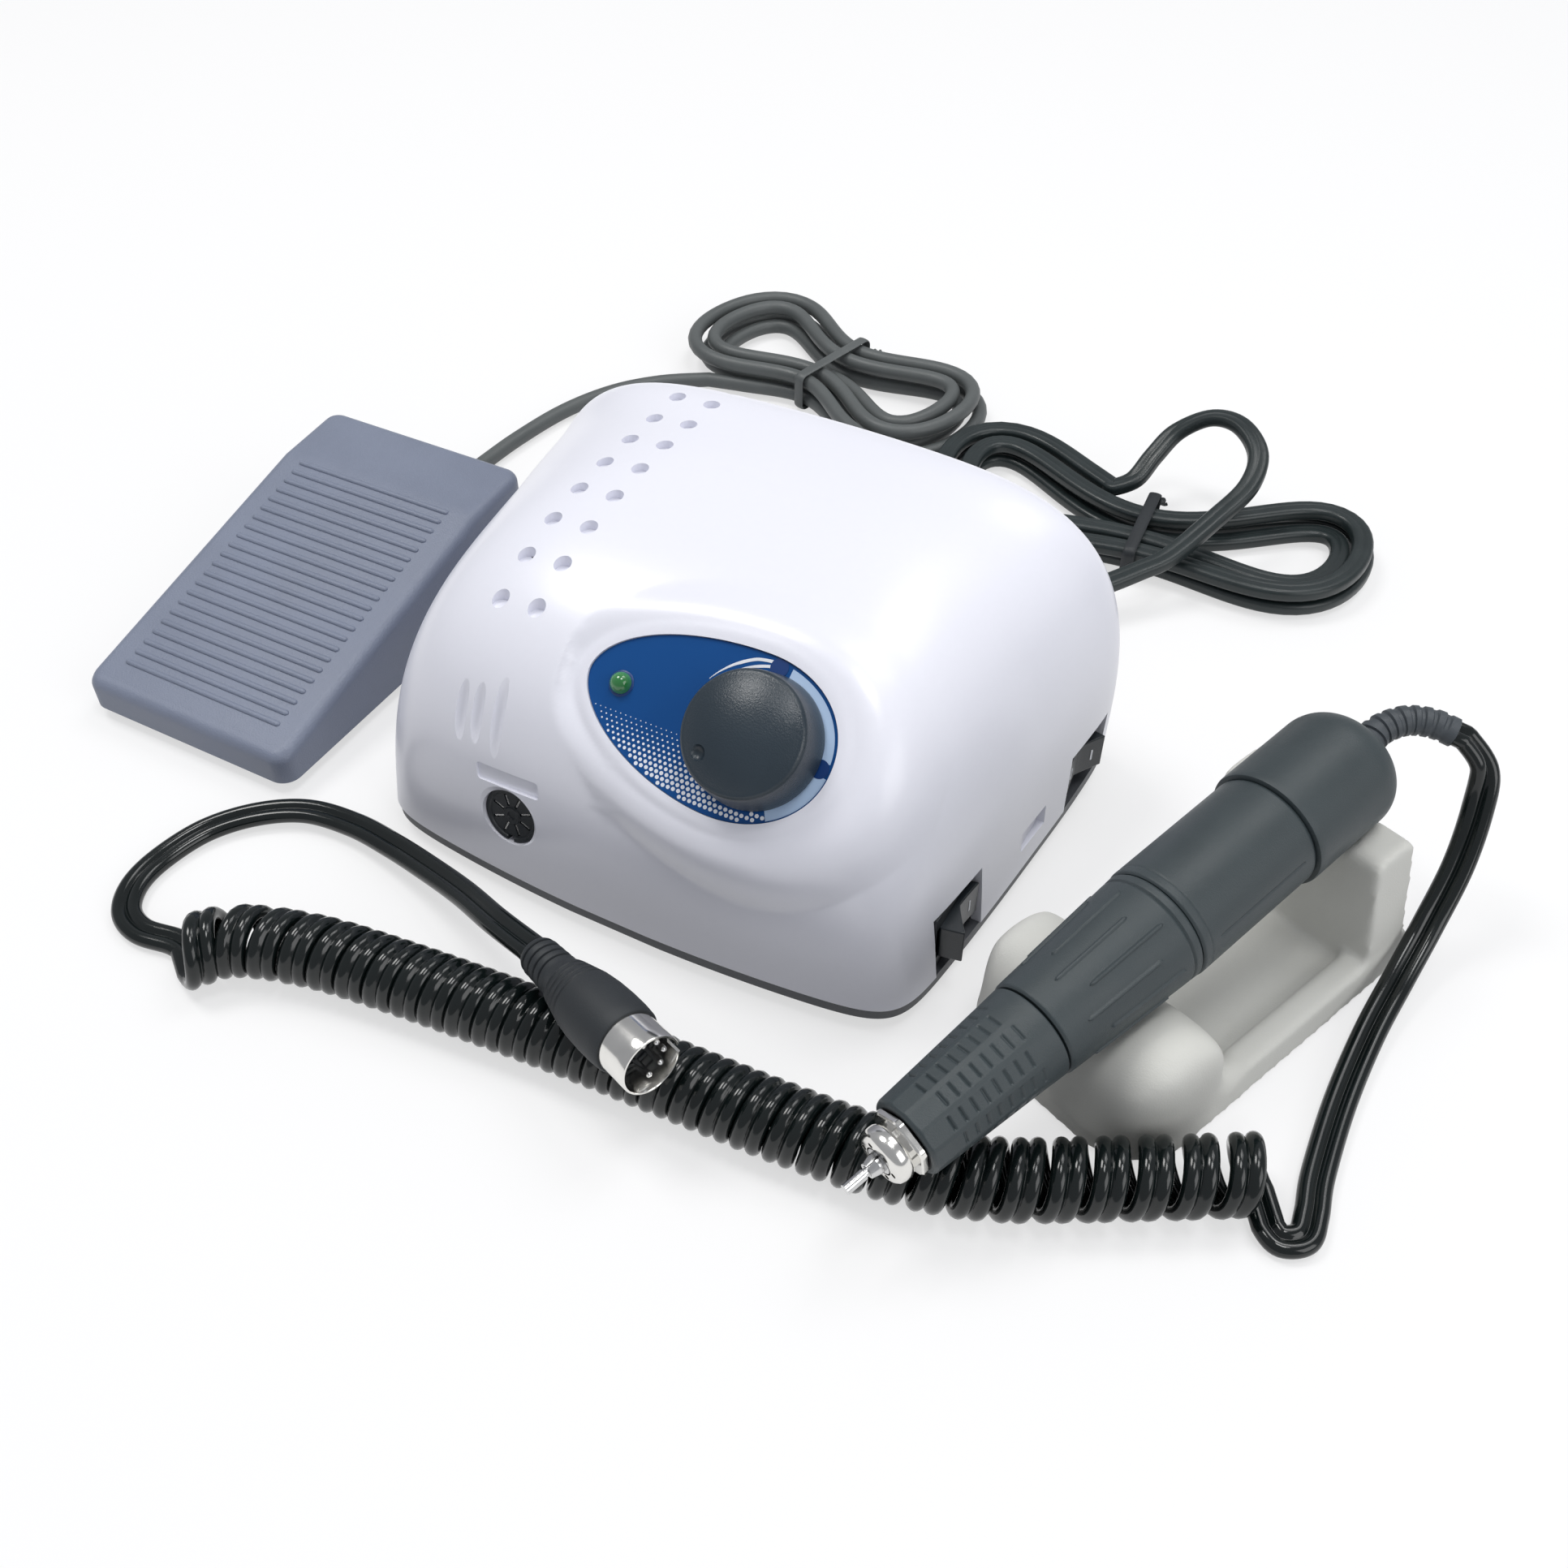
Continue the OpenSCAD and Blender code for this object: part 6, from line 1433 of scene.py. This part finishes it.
def pedal_pieces():
    """Hollow tilting cover with its ridges, then the feet and the cord's gland."""
    fil = 3.2
    low = 3.0
    wall = 2.5

    def edge(y):
        return pedal_top(min(max(y, 3), PEDAL_L - 3))

    rings = [[[x, y, low] for x, y in pedal_ring(0.5)], [[x, y, low + 0.5] for x, y in pedal_ring(0.0)]]
    for k in (0.25, 0.5, 0.75):
        rings.append([[x, y, low + (edge(y) - fil - low) * k] for x, y in pedal_ring(0.0)])
    for i in range(9):
        a = math.radians(90 * i / 8)
        rings.append([[x, y, edge(y) - fil + fil * math.sin(a)]
                      for x, y in pedal_ring(fil * (1 - math.cos(a)))])
    inner = []
    for i in range(5):
        a = math.radians(90 * (4 - i) / 4)
        inset = wall + 1.2 * (1 - math.cos(a))
        inner.append([[x, y, edge(y) - wall - 1.2 + 1.2 * math.sin(a)] for x, y in pedal_ring(inset)])
    inner.append([[x, y, low] for x, y in pedal_ring(wall)])
    n = len(rings[0])
    m = len(rings)
    mi = len(inner)
    verts = np.vstack([np.array(rings).reshape(-1, 3), np.array(inner).reshape(-1, 3)])
    faces = grid_faces(m, n)
    faces += pedal_cap((m - 1) * n)
    off = m * n
    faces += [tuple(v + off for v in f) for f in grid_faces(mi, n)]
    faces += pedal_cap(off)
    for j in range(n):
        k = (j + 1) % n
        faces.append((off + (mi - 1) * n + j, off + (mi - 1) * n + k, k, j))
    cover = make("pedal_treadle", PEDAL(verts), faces, SLATE, "pedal_cover", "pedal_slate", 40)
    cut(cover, [block([-16, PEDAL_L - 8, 0], [-8, PEDAL_L + 6, 20.5], PEDAL)])
    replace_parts(cover, "pedal_cover")
    # raised ridges with round ends
    bars = []
    slope = math.atan2(21.2, 85.0)
    up = np.array([0, -math.sin(slope), math.cos(slope)])
    along = np.array([0, math.cos(slope), math.sin(slope)])
    for i in range(22):
        y = 9.5 + 76.5 * i / 21
        c = np.array([0, y, pedal_top(y)])
        rings = []
        half = [(math.cos(math.radians(18 * j)) + 26.0,
                 math.sin(math.radians(18 * j)) or 0.02) for j in range(6)]
        for x, f in [(-x, f) for x, f in half] + half[::-1]:
            mid = c + np.array([x, 0, 0])
            arc = [math.pi * j / 8 for j in range(9)]
            ring = [mid + along * math.cos(a) * 0.85 * f + up * math.sin(a) * 0.62 * f for a in arc]
            rings.append(ring + [mid - up * 0.35 + along * side * 0.85 * f for side in (-1, 1)])
        bars.append((PEDAL(np.array(rings).reshape(-1, 3)), tube_faces(len(rings), len(rings[0]))))
    make("pedal_ridges", *join(bars), SLATE, "pedal_cover", "pedal_slate", 40)
    prof = [[0.01, 0.0], [4.5, 0.0], [5.0, 0.5], [5.0, 2.0], [0.01, 2.0]]
    feet = [turned(prof, 40, Place(PEDAL([[x, y, 0]])[0], np.eye(3)))
            for x in (-24, 24) for y in (14, PEDAL_L - 14)]
    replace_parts(make("pedal_rubber_feet", *join(feet), RUBBER, "set", "rubber_black", 30), "pedal_feet")
    gl = Place(PEDAL([[-12, PEDAL_L - 14, 8.5]])[0], rot("x", -90))
    prof = [[0.01, -1.8], [4.2, -1.8], [4.2, 0.0], [3.15, 0.0], [3.15, 15.6]]
    for i in range(3):
        prof += [[3.15, 16.2 + i * 2.0], [2.75, 16.4 + i * 2.0], [2.75, 17.2 + i * 2.0],
                 [3.05, 17.6 + i * 2.0]]
    prof += [[2.95, 22.6], [2.7, 22.9], [0.01, 22.9]]
    gland = lathe("pedal_strain_relief", prof, RUBBER, gl, 48, "set", "rubber_black", 30)
    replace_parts(gland, "pedal_gland")
    pedal_coil_spring()


pedal_pieces()


def rear_pieces():
    """Ribbed gland of the mains cord."""
    y = rear_wall_y(45)
    fr = Place([45, y, 18], rot("x", -90))
    prof = [[0.01, -6.5], [5.1, -6.5], [5.1, 1.4], [7.0, 1.4], [7.2, 1.7], [7.0, 2.8]]
    for i in range(6):
        r = 6.7 - i * 0.36
        z = 3.2 + i * 2.95
        prof += [[r, z], [r - 0.05, z + 1.6], [r - 0.8, z + 1.85], [r - 0.85, z + 2.6]]
    prof += [[4.5, 21.2], [4.3, 22.0], [0.01, 22.0]]
    gland = lathe("mains_strain_relief", prof, RUBBER, fr, 64, "set", "rubber_black", 30)
    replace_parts(gland, "mains_gland")


rear_pieces()

# ---------------------------------------------------------------- carried-over solids
CARRIED = {
    "case_screws": STEEL, "speed_pot": CARBON, "pot_shaft": STEEL, "transformer_core": CARBON,
    "transformer_winding": COPPER, "circuit_board": BOARD, "pedal_jack": BLACK, "collet": STEEL,
    "spindle": STEEL, "ball_bearings": STEEL, "front_housing": CARBON, "stator_magnets": CARBON,
    "rotor": CARBON, "commutator": COPPER, "brushes": CARBON, "brush_plate": BLACK, "test_pin": STEEL,
    "pedal_base": SLATE_DARK, "pedal_pin": STEEL, "pedal_switch": BLACK,
}
for node, mat in CARRIED.items():
    obj = bpy.data.objects.get(node)
    if obj is None:
        continue
    if not obj.material_slots:
        obj.data.materials.append(mat)
    for s in obj.material_slots:
        s.material = mat

# ---------------------------------------------------------------- floor and light
floor_mesh = bpy.data.meshes.new("floor")
floor_mesh.from_pydata([(-6, -6, -0.0002), (6, -6, -0.0002), (6, 6, -0.0002), (-6, 6, -0.0002)], [],
                       [(0, 1, 2, 3)])
floor = place(bpy.data.objects.new("floor", floor_mesh))


def seen_only(nt):
    """One for rays that the camera, a reflection or a clear material sends."""
    lp = nt.nodes.new("ShaderNodeLightPath")
    a = nt.nodes.new("ShaderNodeMath")
    a.operation = "MAXIMUM"
    b = nt.nodes.new("ShaderNodeMath")
    b.operation = "MAXIMUM"
    nt.links.new(lp.outputs["Is Camera Ray"], a.inputs[0])
    nt.links.new(lp.outputs["Is Glossy Ray"], a.inputs[1])
    nt.links.new(a.outputs["Value"], b.inputs[0])
    nt.links.new(lp.outputs["Is Transmission Ray"], b.inputs[1])
    return b.outputs["Value"]


def floor_material():
    """White table: part of it glows for the camera alone, so that the shadows on it stay light."""
    mat, nt, bsdf = new_material("white_table")
    seen = seen_only(nt)
    tone = nt.nodes.new("ShaderNodeMix")
    tone.data_type = "RGBA"
    tone.inputs["A"].default_value = (0.5, 0.5, 0.51, 1)
    tone.inputs["B"].default_value = (0.93, 0.93, 0.94, 1)
    nt.links.new(seen, tone.inputs["Factor"])
    nt.links.new(tone.outputs["Result"], bsdf.inputs["Base Color"])
    bsdf.inputs["Roughness"].default_value = 0.7
    bsdf.inputs["Specular IOR Level"].default_value = 0.15
    glow = nt.nodes.new("ShaderNodeEmission")
    glow.inputs["Color"].default_value = (1.0, 1.0, 1.0, 1)
    glow.inputs["Strength"].default_value = 1.0
    part = nt.nodes.new("ShaderNodeMath")
    part.operation = "MULTIPLY"
    part.inputs[1].default_value = 0.62
    nt.links.new(seen, part.inputs[0])
    mix = nt.nodes.new("ShaderNodeMixShader")
    nt.links.new(part.outputs["Value"], mix.inputs["Fac"])
    nt.links.new(bsdf.outputs["BSDF"], mix.inputs[1])
    nt.links.new(glow.outputs["Emission"], mix.inputs[2])
    nt.links.new(mix.outputs["Shader"], nt.nodes["Material Output"].inputs["Surface"])
    return mat


floor_mesh.materials.append(floor_material())

world = bpy.data.worlds.new("world")
bpy.context.scene.world = world
world.use_nodes = True
wt = world.node_tree
dim = wt.nodes["Background"]
dim.inputs["Color"].default_value = (0.93, 0.95, 1.0, 1)
dim.inputs["Strength"].default_value = 0.4
white = wt.nodes.new("ShaderNodeBackground")
white.inputs["Color"].default_value = (1.0, 1.0, 1.0, 1)
sky = wt.nodes.new("ShaderNodeMixShader")
wt.links.new(wt.nodes.new("ShaderNodeLightPath").outputs["Is Camera Ray"], sky.inputs["Fac"])
wt.links.new(dim.outputs["Background"], sky.inputs[1])
wt.links.new(white.outputs["Background"], sky.inputs[2])
wt.links.new(sky.outputs["Shader"], wt.nodes["World Output"].inputs["Surface"])


def area(name, loc, target, size, energy, color=(1, 1, 1)):
    data = bpy.data.lights.new(name, "AREA")
    data.shape = "RECTANGLE"
    data.size = size[0]
    data.size_y = size[1]
    data.energy = energy
    data.color = color
    obj = place(bpy.data.objects.new(name, data))
    obj.location = loc
    d = Vector(target) - Vector(loc)
    obj.rotation_euler = d.to_track_quat("-Z", "Y").to_euler()
    return obj


area("panel_left", (-0.75, 0.05, 1.6), (0, 0, 0), (0.55, 0.55), 10.2, (1.0, 0.99, 0.97))
area("panel_right", (0.32, 0.0, 1.7), (0, 0, 0), (0.45, 0.45), 5.6)
area("panel_back", (0.35, 0.9, 1.6), (0, 0, 0), (0.8, 0.8), 5.0)
area("right_fill", (1.36, -0.24, 0.8), (0, 0, 0), (0.9, 0.9), 6.0)
area("strip_light", (0.2, 0.75, 1.55), (0, 0, 0), (0.06, 0.5), 0.8)

scene = bpy.context.scene
scene.view_settings.view_transform = "Standard"
